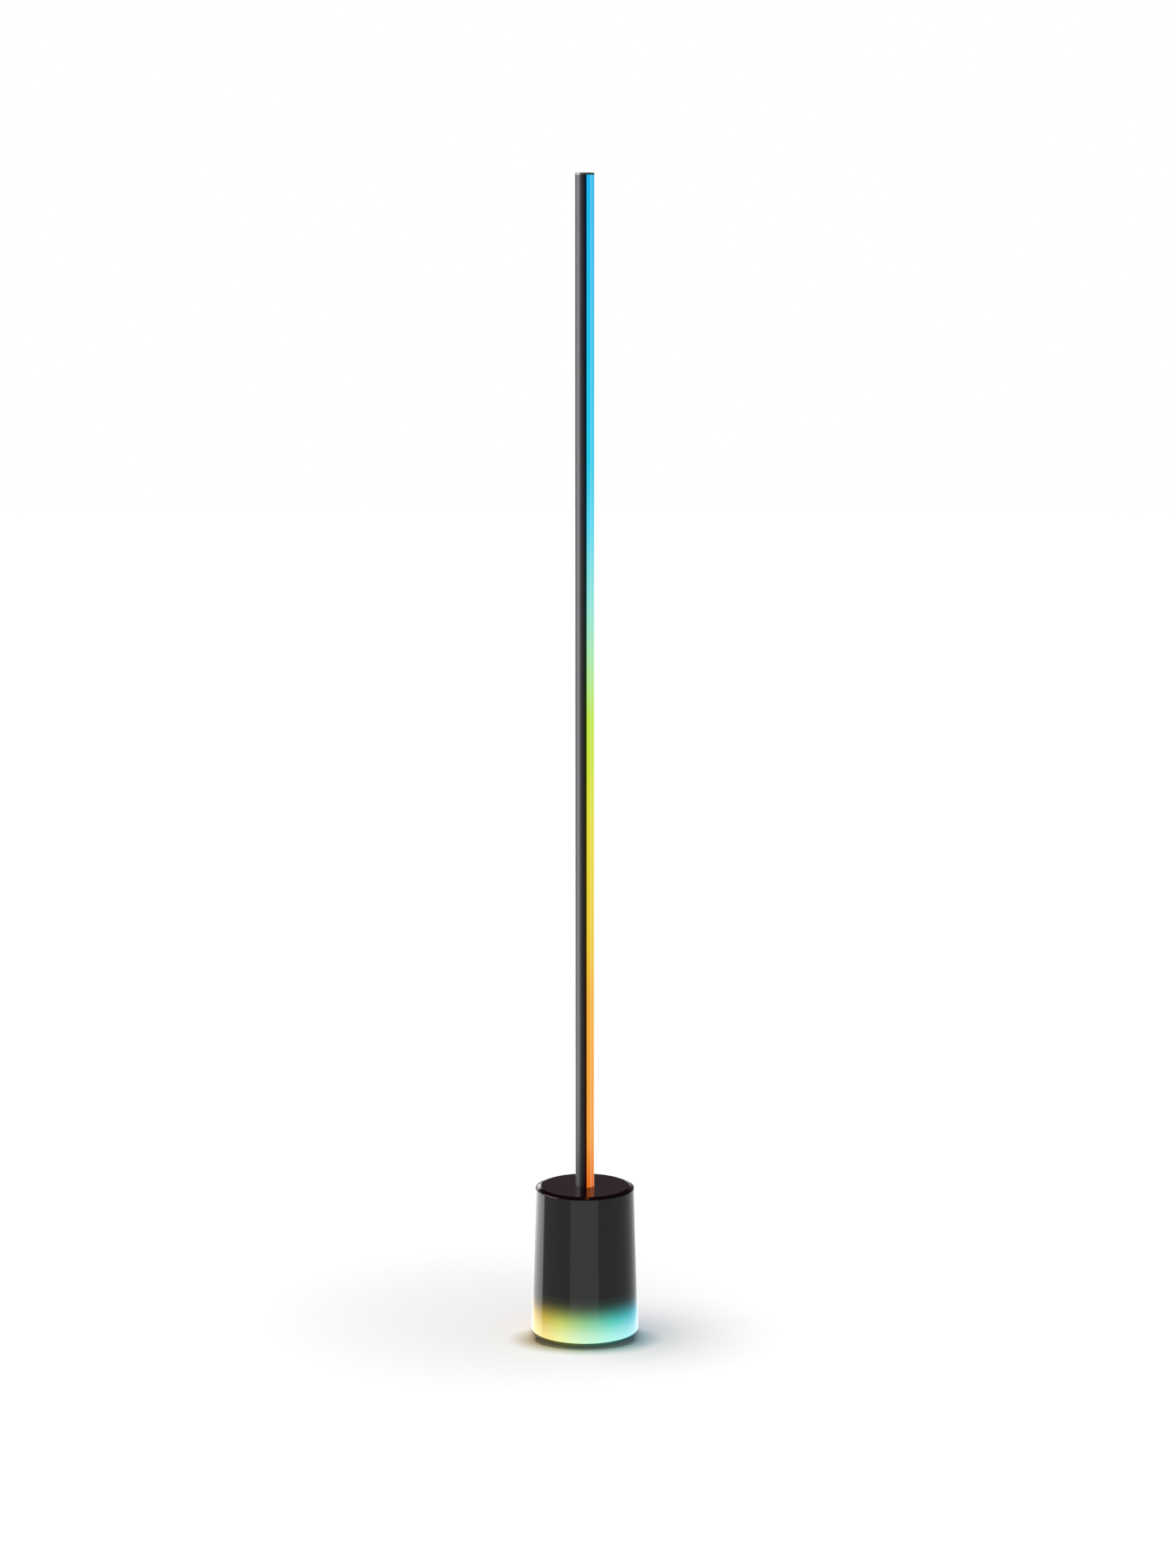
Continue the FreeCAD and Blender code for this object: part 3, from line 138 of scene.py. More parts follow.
class Recipe:
    """A node tree in the making, with short ways to add and link its nodes."""

    def __init__(self, tree):
        self.tree = tree

    def node(self, kind, settings=None, output=0, **inputs):
        """Add a node: its settings first, then the values or links of its sockets.

        A setting named stops fills a colour ramp. A socket is named by its name with _ for
        spaces, or by _ and its number.
        """
        item = self.tree.nodes.new(kind)
        for name, value in (settings or {}).items():
            if name == "stops":
                self.set_stops(item.color_ramp, value)
            else:
                setattr(item, name, value)
        for name, value in inputs.items():
            key = int(name[1:]) if name[0] == "_" else name.replace("_", " ")
            self.feed(item.inputs[key], value)
        return Value(self, item.outputs[output])

    def set_stops(self, band, stops):
        """Fill a colour ramp with places and colours."""
        while len(band.elements) < len(stops):
            band.elements.new(1.0)
        for element, (place, colour) in zip(band.elements, stops):
            element.position = place
            element.color = (*colour, 1)

    def feed(self, socket, value):
        """Link a Value, or set a plain one."""
        if isinstance(value, Value):
            self.tree.links.new(value.socket, socket)
        elif isinstance(value, tuple) and socket.type == "RGBA":
            socket.default_value = (*value, 1)
        else:
            socket.default_value = value

    def maths(self, operation, first, second=0.0):
        """Add a Math node."""
        return self.node("ShaderNodeMath", {"operation": operation}, _0=first, _1=second)

    def fade(self, value, low, high):
        """Go smoothly from 0 at low to 1 at high."""
        return self.node("ShaderNodeMapRange", {"interpolation_type": "SMOOTHSTEP"},
                         Value=value, From_Min=low, From_Max=high)

    def ramp(self, factor, stops):
        """Turn a factor into a colour."""
        return self.node("ShaderNodeValToRGB", {"stops": stops}, Fac=factor)

    def mix(self, factor, first, second, blend="MIX"):
        """Mix two colours."""
        return self.node("ShaderNodeMix", {"data_type": "RGBA", "blend_type": blend}, 2,
                         _0=factor, _6=first, _7=second)

    def parts(self, vector):
        """Take a vector apart."""
        item = self.node("ShaderNodeSeparateXYZ", _0=vector).socket.node
        return [Value(self, output) for output in item.outputs]


print("a recipe offers", ", ".join(name for name in vars(Recipe) if name[0] != "_"))

# %% [markdown]
# ## A finish: the recipe of one material
#
# `Finish` is the recipe of a material with one Principled shader. What is the same all over the
# surface is set on the shader's own sockets, and what changes is linked. Patterns read Object
# coordinates, so they stay on the piece in every view.

# %% Finish
FINE_BUMP = 0.00001
SOFT_BUMP = 0.00002
CELL_BUMP = 0.00003


class Finish(Recipe):
    """A material with one Principled shader. Constants are set on the shader's own sockets."""

    def __init__(self, name, **constants):
        self.material = bpy.data.materials.new(name)
        self.material.use_nodes = True
        super().__init__(self.material.node_tree)
        self.shader = self.tree.nodes["Principled BSDF"]
        self.paint(**constants)
        coordinates = self.node("ShaderNodeTexCoord").socket.node.outputs
        self.place = Value(self, coordinates["Object"])
        self.x, self.y, self.z = self.parts(self.place)

    def paint(self, **inputs):
        """Feed the shader's sockets."""
        for name, value in inputs.items():
            self.feed(self.shader.inputs[name.replace("_", " ")], value)

    def noise(self, scale, detail=2.0, stretch=(1, 1, 1)):
        """Give fine noise over the surface, stretched along the axes."""
        spot = self.node("ShaderNodeMapping", Vector=self.place, Scale=stretch)
        return self.node("ShaderNodeTexNoise", Vector=spot, Scale=scale, Detail=detail)

    def bump(self, height, distance, strength=1.0):
        """Raise the surface by a height field."""
        self.paint(Normal=self.node("ShaderNodeBump", Height=height, Distance=distance,
                                    Strength=strength))


def linear(red, green, blue):
    """Turn a screen colour of 0 to 255 into the linear colour that a shader wants."""
    shares = [value / 255 for value in (red, green, blue)]
    return tuple(s / 12.92 if s <= 0.04045 else ((s + 0.055) / 1.055) ** 2.4 for s in shares)


print("screen grey 128 is", round(linear(128, 128, 128)[0], 3), "for a shader")

# %% [markdown]
# ## The two colour runs of the light
#
# The strip in the pole runs from orange at the deck through yellow and green to azure at the
# top. The ring in the drum runs round it: amber at the left, green in front, blue at the right,
# and on through violet and red behind. Both are needed by more than one finish, because the
# light's colour is also painted as a glow on the pieces beside it. So each is a function that
# adds the run to a finish. The first run lists screen colours by height, the second shader
# colours by degrees from the front.

# %% Colour by height, and colour by direction
LIGHT_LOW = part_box("pole_diffuser")[0].z
LIGHT_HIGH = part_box("pole_diffuser")[1].z
LIGHT_RUN = [
    (0.19, (230, 112, 14)), (0.25, (246, 160, 58)), (0.42, (244, 178, 54)),
    (0.50, (238, 204, 52)), (0.62, (232, 218, 54)), (0.70, (212, 228, 54)),
    (0.77, (192, 232, 70)), (0.83, (174, 232, 158)), (0.90, (148, 228, 212)),
    (1.00, (86, 214, 240)), (1.08, (30, 202, 234)), (1.41, (22, 184, 240)),
]
RING_RUN = [
    (-180, (0.90, 0.22, 0.70)), (-142, (1.00, 0.18, 0.24)), (-110, (1.00, 0.40, 0.06)),
    (-85, (1.00, 0.66, 0.07)), (-48, (1.00, 0.72, 0.07)), (-27, (0.92, 1.00, 0.16)),
    (0, (0.42, 0.97, 0.42)), (30, (0.11, 1.00, 0.82)), (63, (0.07, 0.82, 1.00)),
    (90, (0.08, 0.68, 1.00)), (125, (0.16, 0.34, 1.00)), (155, (0.50, 0.24, 1.00)),
    (180, (0.90, 0.22, 0.70)),
]


def light_colour(finish):
    """Give the strip's colour at a height."""
    span = LIGHT_HIGH - LIGHT_LOW
    stops = [(max(0, (z - LIGHT_LOW) / span), linear(*colour)) for z, colour in LIGHT_RUN]
    return finish.ramp((finish.z - LIGHT_LOW) / span, stops)


def distance(across, along):
    """Give the distance of a place from an upright axis."""
    return (across * across + along * along) ** 0.5


def ring_colour(finish):
    """Give the ring's colour in a direction round the drum, from the front and to the right."""
    turn = finish.maths("ARCTAN2", finish.x, finish.y * -1.0) / math.tau + 0.5
    return finish.ramp(turn, [((angle + 180) / 360, colour) for angle, colour in RING_RUN])


print("light runs from", round(LIGHT_LOW, 3), "to", round(LIGHT_HIGH, 3))

# %% [markdown]
# ## Finish: black anodised extrusion
#
# An extruded pole keeps faint lines along its length from the die, and the anodised coat
# scatters light a little. Noise that is squeezed across and stretched along the pole gives both:
# it moves the roughness and a very shallow bump. The metal beside the light channel turns under
# into the lip, and there the coat is painted shade, black and mirroring nothing, with a faint
# painted glow of the strip's colour on it.

# %% Anodised finish
LIP_SHADE_FULL = 1.56
LIP_SHADE_END = 1.62
LIP_PAINTED_GLOW = 0.04
DIE_LINES = 900.0
DIE_STRETCH = (1, 1, 0.004)
COAT_CLOUD = 14.0


def make_anodised():
    """Satin black coat with die lines along the pole, with painted shade and glow by the light
    channel.
    """
    finish = Finish("anodised_black", Specular_IOR_Level=0.16, Emission_Strength=1.0)
    lines = finish.noise(DIE_LINES, 3.0, DIE_STRETCH)
    cloud = finish.noise(COAT_CLOUD, 3.0)
    around = finish.maths("ARCTAN2", finish.maths("ABSOLUTE", finish.y), finish.x)
    # Painted shade by the light channel: black, mirroring nothing, with a faint painted glow.
    plain = finish.fade(around, LIP_SHADE_FULL, LIP_SHADE_END)
    coat = finish.mix(cloud, (0.009, 0.007, 0.011), (0.014, 0.012, 0.016))
    light = light_colour(finish)
    deep = finish.mix(1.0, light, light, "MULTIPLY")
    finish.paint(
        Base_Color=finish.mix(plain, BLACK, coat),
        Metallic=1.0 - plain,
        Roughness=0.38 + lines * 0.08 + cloud * 0.04,
        Emission_Color=finish.mix((1.0 - plain) * LIP_PAINTED_GLOW, BLACK, deep))
    finish.bump(lines, FINE_BUMP, 0.5)
    return finish.material


anodised = make_anodised()
print(anodised.name, "is plain from", round(math.degrees(LIP_SHADE_END)), "degrees off the light")

# %% [markdown]
# ## Finish: the light cover
#
# The cover is a milky extrusion lit from inside, so its own glow is what is seen. Across its
# width the colour is deepest just inside the lips, and it pales in bands: in the middle, where
# the chips shine straight through, in a painted highlight of the studio's light at each
# shoulder, and in a thin line at the edge. The glow carries nearly all of the colour, and the
# moulding below it stays dark, so that glow and daylight together don't bleach to white.

# %% Light cover
MIDDLE_FADE = (0.10, 0.55)
PAINTED_SHEEN_RISE = (0.58, 0.74)
PAINTED_SHEEN_FALL = (0.88, 1.04)
EDGE_RISE = (1.26, 1.33)
MIDDLE_PALE = 0.20
PAINTED_SHEEN_PALE = 0.11
EDGE_PALE = 0.03
GRAIN = 420.0
GRAIN_DARK = 0.05
COVER_DARK = 0.97


def make_cover():
    """Milky cover, lit from inside in colours that change with height."""
    finish = Finish("light_cover", Roughness=0.35, Specular_IOR_Level=0.04, Emission_Strength=1.0)
    light = light_colour(finish)
    around = finish.maths("ARCTAN2", finish.maths("ABSOLUTE", finish.y), finish.x)
    middle = 1.0 - finish.fade(around, *MIDDLE_FADE)
    # Painted highlight: a pale band at each shoulder stands in for the studio's light mirrored
    # there.
    painted_sheen = finish.fade(around, *PAINTED_SHEEN_RISE) * (1.0 - finish.fade(around, *PAINTED_SHEEN_FALL))
    edge = finish.fade(around, *EDGE_RISE)
    pale = middle * MIDDLE_PALE + painted_sheen * PAINTED_SHEEN_PALE + edge * EDGE_PALE
    glow = finish.mix(pale, light, WHITE)
    grain = finish.noise(GRAIN, 2.0)
    finish.paint(Emission_Color=finish.mix(GRAIN_DARK * grain, glow, BLACK),
                 Base_Color=finish.mix(COVER_DARK, light, BLACK))
    finish.bump(grain, SOFT_BUMP, 0.3)
    return finish.material


cover = make_cover()
print(cover.name, "glows in", len(LIGHT_RUN), "colours by height")

# %% [markdown]
# ## Finish: the smoked shell and its glow
#
# The drum is one gloss moulding. Inside it a ring of light chips shines up a milky skirt, and
# the shell's dark backing thins out towards its lower edge, so the colour comes through there:
# full at the edge, gone a third of the way up. Height gives the strength, direction gives the
# colour, and near the edge the colour pales because the chips are close. The glow's rise is a
# list of heights and strengths.

# %% Gloss and glow
GLOW_RISE = [(0.005, 0.96), (0.013, 0.86), (0.022, 0.73), (0.030, 0.57), (0.036, 0.38),
             (0.041, 0.22), (0.048, 0.07), (0.054, 0.02), (0.062, 0.0)]
GLOW_TOP = GLOW_RISE[-1][0]
PALE_LOW = 0.010
PALE_HIGH = 0.036
PALE_SHARE = 0.38
PALE_LEFT = (1.0, 1.0, 0.62)
LEFT_REACH = 0.055
HAZE = 9.0
DUST = 700.0
DUST_SHOWS = (0.64, 0.76)
WAVES = 55.0


def make_gloss(name, dark, light, roughness, level, tint=WHITE):
    """Gloss black moulding with a breath of haze and the finest dust in it."""
    finish = Finish(name, Specular_IOR_Level=level, Specular_Tint=tint)
    cloud = finish.noise(HAZE, 4.0)
    dust = finish.fade(finish.noise(DUST, 2.0), *DUST_SHOWS)
    finish.paint(Base_Color=finish.mix(cloud, dark, light),
                 Roughness=roughness + cloud * 0.03 + dust * 0.04)
    finish.bump(finish.noise(WAVES, 2.0), FINE_BUMP, 0.2)
    return finish


def make_shell_finish():
    """Gloss smoked moulding that lets colour through towards its lower edge."""
    finish = make_gloss("smoked_shell", (0.006, 0.006, 0.006), (0.009, 0.009, 0.009), 0.03, 0.5)
    strength = finish.ramp(finish.z / GLOW_TOP, [(z / GLOW_TOP, (s, s, s)) for z, s in GLOW_RISE])
    near = 1.0 - finish.fade(finish.z, PALE_LOW, PALE_HIGH)
    pale = finish.mix(finish.fade(finish.x * -1.0, 0.0, LEFT_REACH), WHITE, PALE_LEFT)
    colour = finish.mix(near * PALE_SHARE, ring_colour(finish), pale)
    finish.paint(Emission_Strength=1.0,
                 Emission_Color=finish.mix(1.0, colour, strength, "MULTIPLY"))
    return finish.material


shell_finish = make_shell_finish()
print(shell_finish.name, "glows up to", GLOW_TOP, "m")

# %% [markdown]
# ## Finish: the rim, the deck and the foot
#
# The deck is the same gloss with a trace of red in what it mirrors. The rim's edge is painted
# shade, matt black that mirrors nothing. The foot is a plain moulding with a painted glow of the
# ring's colour on its side, and only there, so the painted glow fades in over a hair at the side's
# radius.

# %% Rim, deck and foot
FOOT_PAINTED_GLOW = 0.09
FOOT_SIDE = 63.7 * MM
FOOT_EDGE = 0.4 * MM
MOULD_GRAIN = 1400.0
DECK_TINT = (1.0, 0.45, 0.55)


def make_foot_finish():
    """Moulded foot under the shell, with a painted glow of the ring's colour on its side."""
    finish = Finish("foot_moulding", Emission_Strength=1.0, Specular_IOR_Level=0.2)
    cells = finish.noise(MOULD_GRAIN, 2.0)
    side = distance(finish.x, finish.y)
    # Painted glow: the side takes a trace of the ring's colour, as if lit by it.
    painted_glow_side = finish.fade(side, FOOT_SIDE - FOOT_EDGE, FOOT_SIDE + FOOT_EDGE)
    finish.paint(Base_Color=finish.mix(cells, (0.014, 0.014, 0.014), (0.022, 0.022, 0.022)),
                 Roughness=0.45 + cells * 0.12,
                 Emission_Color=finish.mix(painted_glow_side * FOOT_PAINTED_GLOW, BLACK, ring_colour(finish)))
    finish.bump(cells, CELL_BUMP, 0.6)
    return finish.material


def make_rim_shade():
    """Painted shade on the shell's rim: matt black that mirrors nothing."""
    finish = Finish("rim_black", Roughness=0.9, Specular_IOR_Level=0.0)
    cells = finish.noise(MOULD_GRAIN, 2.0)
    finish.paint(Base_Color=finish.mix(cells, (0.003, 0.003, 0.003), (0.006, 0.006, 0.006)))
    finish.bump(cells, SOFT_BUMP, 0.4)
    return finish.material


rim_shade = make_rim_shade()
deck_finish = make_gloss("gloss_deck", (0.003, 0.001, 0.002), (0.006, 0.002, 0.004),
                         0.07, 0.60, DECK_TINT).material
foot_finish = make_foot_finish()
print("finished", rim_shade.name, deck_finish.name, foot_finish.name)

# %% [markdown]
# ## Finish: mouldings, metals, boards and rubber
#
# The inner pieces are seldom seen, but a reader may take the lamp apart. Each family gets one
# short recipe: spark-eroded plastic is a fine cellular bump, plated steel has a cloudy
# roughness, cast iron is coarse and dull, and a board has the weave of its glass cloth.

# %% Families of finishes
CLOUD = 12.0
WEAVE = 900.0
LACQUER_CLOUD = 60.0


def make_moulding(name, dark, light, roughness, grain=MOULD_GRAIN, depth=CELL_BUMP):
    """Spark-eroded moulding."""
    finish = Finish(name)
    cells = finish.noise(grain, 2.0)
    cloud = finish.noise(CLOUD, 3.0)
    finish.paint(Base_Color=finish.mix(cloud, dark, light), Roughness=roughness + cells * 0.12)
    finish.bump(cells, depth, 0.6)
    return finish.material


def make_metal(name, dark, light, roughness, metallic=1.0, scale=90.0, depth=FINE_BUMP):
    """Metal whose roughness and tone are slightly cloudy."""
    finish = Finish(name, Metallic=metallic)
    cloud = finish.noise(scale, 4.0)
    finish.paint(Base_Color=finish.mix(cloud, dark, light), Roughness=roughness + cloud * 0.15)
    finish.bump(finish.noise(scale * 8, 2.0), depth, 0.5)
    return finish.material


def make_board(name, dark, light):
    """Circuit board: lacquer over woven glass cloth."""
    finish = Finish(name, Specular_IOR_Level=0.45)
    weave = finish.node("ShaderNodeTexWave", {"wave_type": "BANDS"}, 1,
                        Vector=finish.place, Scale=WEAVE)
    cloud = finish.noise(LACQUER_CLOUD, 3.0)
    finish.paint(Base_Color=finish.mix(cloud, dark, light),
                 Roughness=0.3 + weave * 0.1 + cloud * 0.08)
    finish.bump(weave, FINE_BUMP, 0.3)
    return finish.material


print("three families of finishes: moulding, metal and board")

# %% [markdown]
# ## The finishes of the inner pieces
#
# Every piece takes a finish from one of the families. The two colours of each are its darkest
# and its lightest tone, the first number is its roughness, and its name says what it is.

# %% Finishes by name
moulding = make_moulding("black_moulding", (0.018, 0.018, 0.019), (0.028, 0.028, 0.030), 0.5)
cap_finish = make_moulding("cap_moulding", (0.006, 0.006, 0.007), (0.010, 0.010, 0.012), 0.34)
button_finish = make_moulding("button_moulding", (0.014, 0.014, 0.015), (0.022, 0.022, 0.024),
                              0.38)
bezel_finish = make_gloss("gloss_bezel", (0.008, 0.008, 0.008), (0.012, 0.012, 0.012),
                          0.06, 0.5).material
rubber = make_moulding("pad_rubber", (0.030, 0.030, 0.030), (0.046, 0.045, 0.044), 0.72,
                       grain=500.0, depth=0.00008)
case_black = make_moulding("case_black", (0.016, 0.016, 0.017), (0.028, 0.028, 0.030), 0.42,
                           grain=2600.0)
lead_cover = make_moulding("lead_cover", (0.022, 0.022, 0.024), (0.034, 0.034, 0.036), 0.46,
                           grain=300.0)
milky = make_moulding("milky_diffuser", (0.74, 0.78, 0.74), (0.84, 0.87, 0.84), 0.36)
chip_case = make_moulding("chip_case", (0.68, 0.68, 0.66), (0.80, 0.80, 0.78), 0.4)
chip_window = make_moulding("chip_window", (0.80, 0.62, 0.10), (0.90, 0.74, 0.18), 0.2)
plated_steel = make_metal("plated_steel", (0.42, 0.42, 0.43), (0.58, 0.58, 0.57), 0.24)
black_steel = make_metal("black_steel", (0.020, 0.020, 0.022), (0.040, 0.040, 0.042), 0.36,
                         metallic=0.6)
cast_iron = make_metal("cast_iron", (0.030, 0.030, 0.032), (0.062, 0.060, 0.060), 0.56,
                       metallic=0.5, scale=60.0, depth=0.00015)
brass = make_metal("plated_brass", (0.62, 0.48, 0.22), (0.80, 0.66, 0.34), 0.18)
green_board = make_board("green_board", (0.008, 0.060, 0.030), (0.012, 0.090, 0.046))
white_board = make_board("white_board", (0.62, 0.62, 0.60), (0.74, 0.74, 0.72))
print(len(bpy.data.materials), "finishes made")

# %% [markdown]
# ## Turned pieces
#
# Most outer surfaces of this lamp are turned on one axis: the drum on the upright one, the
# button and the inlet on one that points to the back. One maker spins an outline of distances
# and heights. Its corners carry the radius that breaks their edge, because a real edge is never
# sharp, and the thin line of light along it is what the eye reads.

# %% Outlines and turning
TURNS = 256
SMALL_TURNS = 96
HOLD = 0.06 * MM
MERGE = 1e-7
NO_LENGTH = 1e-8


def rounded(corners, steps=5):
    """Replace each corner (a, b, radius) of an outline with an arc of that radius.

    A point a hair beyond each end of the arc holds the shading of the flat beside it.
    """
    points = []
    for index, (a, b, radius) in enumerate(corners):
        here = Vector((a, b))
        if not radius:
            points.append(here)
            continue
        before = (Vector(corners[index - 1][:2]) - here).normalized()
        after = (Vector(corners[(index + 1) % len(corners)][:2]) - here).normalized()
        half = before.angle(after) / 2
        reach = radius / math.tan(half)
        centre = here + (before + after).normalized() * (radius / math.sin(half))
        start = here + before * reach - centre
        stop = here + after * reach - centre
        sweep = math.atan2(start.x * stop.y - start.y * stop.x, start.dot(stop))
        points.append(here + before * (reach + HOLD))
        for step in range(steps + 1):
            turn = sweep * step / steps
            points.append(centre + Vector((
                start.x * math.cos(turn) - start.y * math.sin(turn),
                start.x * math.sin(turn) + start.y * math.cos(turn))))
        points.append(here + after * (reach + HOLD))
    return points


def turned_mesh(outline, turns, rear_height=None):
    """Spin a closed outline once: round Z, or round the axis to the back at a height."""
    mesh = bmesh.new()
    rings = []
    for step in range(turns):
        angle = math.tau * step / turns
        ring = []
        for reach, along in outline:
            across, up = reach * math.cos(angle), reach * math.sin(angle)
            upright = (across, up, along)
            ring.append(mesh.verts.new(
                upright if rear_height is None else (across, along, up + rear_height)))
        rings.append(ring)
    for this, following in zip(rings, rings[1:] + rings[:1]):
        for index in range(len(outline)):
            nearby = (index + 1) % len(outline)
            mesh.faces.new([this[index], following[index], following[nearby], this[nearby]])
    bmesh.ops.remove_doubles(mesh, verts=mesh.verts, dist=MERGE)
    bmesh.ops.dissolve_degenerate(mesh, edges=mesh.edges, dist=NO_LENGTH)
    return mesh


print("turned pieces have", TURNS, "steps round, and the small ones", SMALL_TURNS)

# %% [markdown]
# ## From a mesh to a piece
#
# A piece is an object at the origin whose mesh already sits in its place. It is shaded smooth,
# except over edges that turn by more than a named angle in degrees. Then it rides on a body and
# stands for the packed piece that it replaces.

# %% Pieces
SHARP_TURNED = 35.0
SHARP_DRAWN = 30.0
SHARP_DECK = 20.0


def smooth(data, sharp):
    """Shade smoothly between the edges that turn by more than an angle."""
    data.shade_smooth()
    data.set_sharp_from_angle(angle=math.radians(sharp))


def new_piece(name, mesh, material, body="lamp", sharp=SHARP_TURNED):
    """Make an object of a bmesh, facing outwards; where a body is named, it rides on it."""
    bmesh.ops.recalc_face_normals(mesh, faces=mesh.faces)
    data = bpy.data.meshes.new(name)
    mesh.to_mesh(data)
    mesh.free()
    smooth(data, sharp)
    data.materials.append(material)
    piece = bpy.data.objects.new(name, data)
    bpy.context.scene.collection.objects.link(piece)
    if body:
        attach(piece, body)
    return piece


def stand_for(piece, node):
    """Let a piece stand for a packed one."""
    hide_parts(node)
    print(piece.name, "stands for", node, "with", len(piece.data.polygons), "faces")


def middle_height(node):
    """Give the height of the middle of a packed piece."""
    low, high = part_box(node)
    return (low.z + high.z) / 2


print("edges stay sharp above", SHARP_TURNED, "degrees on turned pieces")

# %% [markdown]
# ## Geometry Nodes: trees written as code
#
# What repeats, or follows a rule, is grown by a node tree. Each tree is started with its sizes
# as named inputs. It ends by making instances real and setting the material, because the export
# drops instances. Growing a piece sets its sizes before the first run, keeps the result as a
# plain mesh and removes the modifier.

# %% Trees
def new_tree(name, sizes):
    """Start a Geometry Nodes tree with named size inputs; return it with its two ends."""
    tree = bpy.data.node_groups.new(name, "GeometryNodeTree")
    face = tree.interface
    face.new_socket("Geometry", in_out="INPUT", socket_type="NodeSocketGeometry")
    for size, kind in sizes.items():
        face.new_socket(size, in_out="INPUT", socket_type=f"NodeSocket{kind}")
    face.new_socket("Geometry", in_out="OUTPUT", socket_type="NodeSocketGeometry")
    start = tree.nodes.new("NodeGroupInput")
    end = tree.nodes.new("NodeGroupOutput")
    recipe = Recipe(tree)
    sockets = {output.name: Value(recipe, output) for output in start.outputs if output.name}
    return recipe, sockets, end


def close_tree(recipe, shape, material, end):
    """End a tree: make instances real, set the material and hand the shape out."""
    real = recipe.node("GeometryNodeRealizeInstances", Geometry=shape)
    done = recipe.node("GeometryNodeSetMaterial", Geometry=real, Material=material)
    recipe.feed(end.inputs[0], done)
    return recipe.tree


def grow(piece, tree, **sizes):
    """Run a tree on a piece with its sizes, keep the result as a plain mesh."""
    modifier = piece.modifiers.new("grow", "NODES")
    modifier.node_group = tree
    for item in tree.interface.items_tree:
        key = item.name.replace(" ", "_")
        if item.in_out == "INPUT" and key in sizes:
            modifier[item.identifier] = sizes[key]
    bpy.context.view_layer.update()
    graph = bpy.context.evaluated_depsgraph_get()
    result = bpy.data.meshes.new_from_object(piece.evaluated_get(graph))
    piece.modifiers.clear()
    piece.data = result


print("trees can be started, closed and grown")

# %% [markdown]
# ## Geometry Nodes: a die for the pole and its cover
#
# Extrusions follow one rule: a section, drawn along a line. The script draws the section as a
# flat face, and a small tree extrudes it by a named length, keeps a turned copy of the first
# face to close the foot, and merges the seam. The same tree draws the metal and the cover.

# %% The die
def make_die():
    """Tree that draws a flat section upwards by a length and closes both ends."""
    recipe, sizes, end = new_tree("die", {"Length": "Float", "Coat": "Material"})
    upwards = recipe.node("ShaderNodeCombineXYZ", Z=sizes["Length"])
    drawn = recipe.node("GeometryNodeExtrudeMesh", {"mode": "FACES"}, Mesh=sizes["Geometry"],
                        Offset=upwards, Offset_Scale=1.0, Individual=False)
    foot = recipe.node("GeometryNodeFlipFaces", Mesh=sizes["Geometry"])
    join = recipe.tree.nodes.new("GeometryNodeJoinGeometry")
    for part in (drawn, foot):
        recipe.tree.links.new(part.socket, join.inputs[0])
    whole = recipe.node("GeometryNodeMergeByDistance", Geometry=Value(recipe, join.outputs[0]),
                        Distance=MERGE)
    return close_tree(recipe, whole, sizes["Coat"], end)


die = make_die()


def drawn_piece(name, section, low, high, material):
    """Draw a closed section (x, y) from one height to another through the die."""
    mesh = bmesh.new()
    mesh.faces.new([mesh.verts.new((x, y, low)) for x, y in section])
    bmesh.ops.recalc_face_normals(mesh, faces=mesh.faces)
    if mesh.faces[:][0].normal.z < 0:
        bmesh.ops.reverse_faces(mesh, faces=mesh.faces)
    data = bpy.data.meshes.new(name)
    mesh.to_mesh(data)
    mesh.free()
    piece = bpy.data.objects.new(name, data)
    bpy.context.scene.collection.objects.link(piece)
    grow(piece, die, Length=high - low, Coat=material)
    smooth(piece.data, SHARP_DRAWN)
    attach(piece, "lamp")
    return piece


print("the die has", len(die.nodes), "nodes")

# %% [markdown]
# ## The pole and its light cover
#
# The extrusion wraps the dark three fifths of a circle. A web across it carries the strip, and
# the cover snaps into two grooves just inside the lips. The real one has a rib and a screw port
# behind the web. No eye reaches them, so this section is drawn full there. The lips turn in with
# a small radius, and a fine seam stays open between metal and cover: it is what shows as the
# thin dark line beside the light. Angles are in degrees from the middle of the light.

# %% Pole and cover
POLE_RADIUS = 11.5 * MM
POLE_INNER = 9.9 * MM
LIP_ANGLE = 78.0
LIP_TURN = 1.4
LIP_BREAK = 0.25 * MM
SEAM = 0.6
WEB_FRONT = -4.0 * MM
COVER_INNER = 10.0 * MM
LEG_OUTER = 9.75 * MM
LEG_INNER = 8.55 * MM
GROOVE = 10.7 * MM
HOOK = 10.55 * MM
GROOVE_ANGLES = (84.0, 96.0)
HOOK_ANGLES = (86.5, 93.5)
LEG_START = 10.0


def arc(radius, first, last, steps=16):
    """Give points of an arc about the pole's axis, between two angles in degrees."""
    angles = [math.radians(first + (last - first) * step / steps) for step in range(steps + 1)]
    return [(radius * math.cos(angle), radius * math.sin(angle)) for angle in angles]


def single(radius, angle):
    """Give one point at a radius and an angle in degrees, as a list."""
    return arc(radius, angle, angle, steps=1)[:1]


def turn_over(points):
    """Mirror points left to right of the light's direction, in the other order."""
    return [(x, -y) for x, y in reversed(points)]


def pole_section():
    """Give the metal's section: outer arc, lip, groove and the front of the web."""
    web_angle = math.degrees(math.acos(WEB_FRONT / POLE_INNER))
    outer = arc(POLE_RADIUS, 180, LIP_ANGLE + LIP_TURN, steps=48)
    lip = single(POLE_RADIUS - LIP_BREAK, LIP_ANGLE)
    inner = arc(POLE_INNER, LIP_ANGLE, GROOVE_ANGLES[0], steps=3)
    groove = arc(GROOVE, *GROOVE_ANGLES, steps=4)
    rest = arc(POLE_INNER, GROOVE_ANGLES[1], web_angle, steps=6)
    half = outer + lip + inner + groove + rest
    return half + turn_over(half[1:])


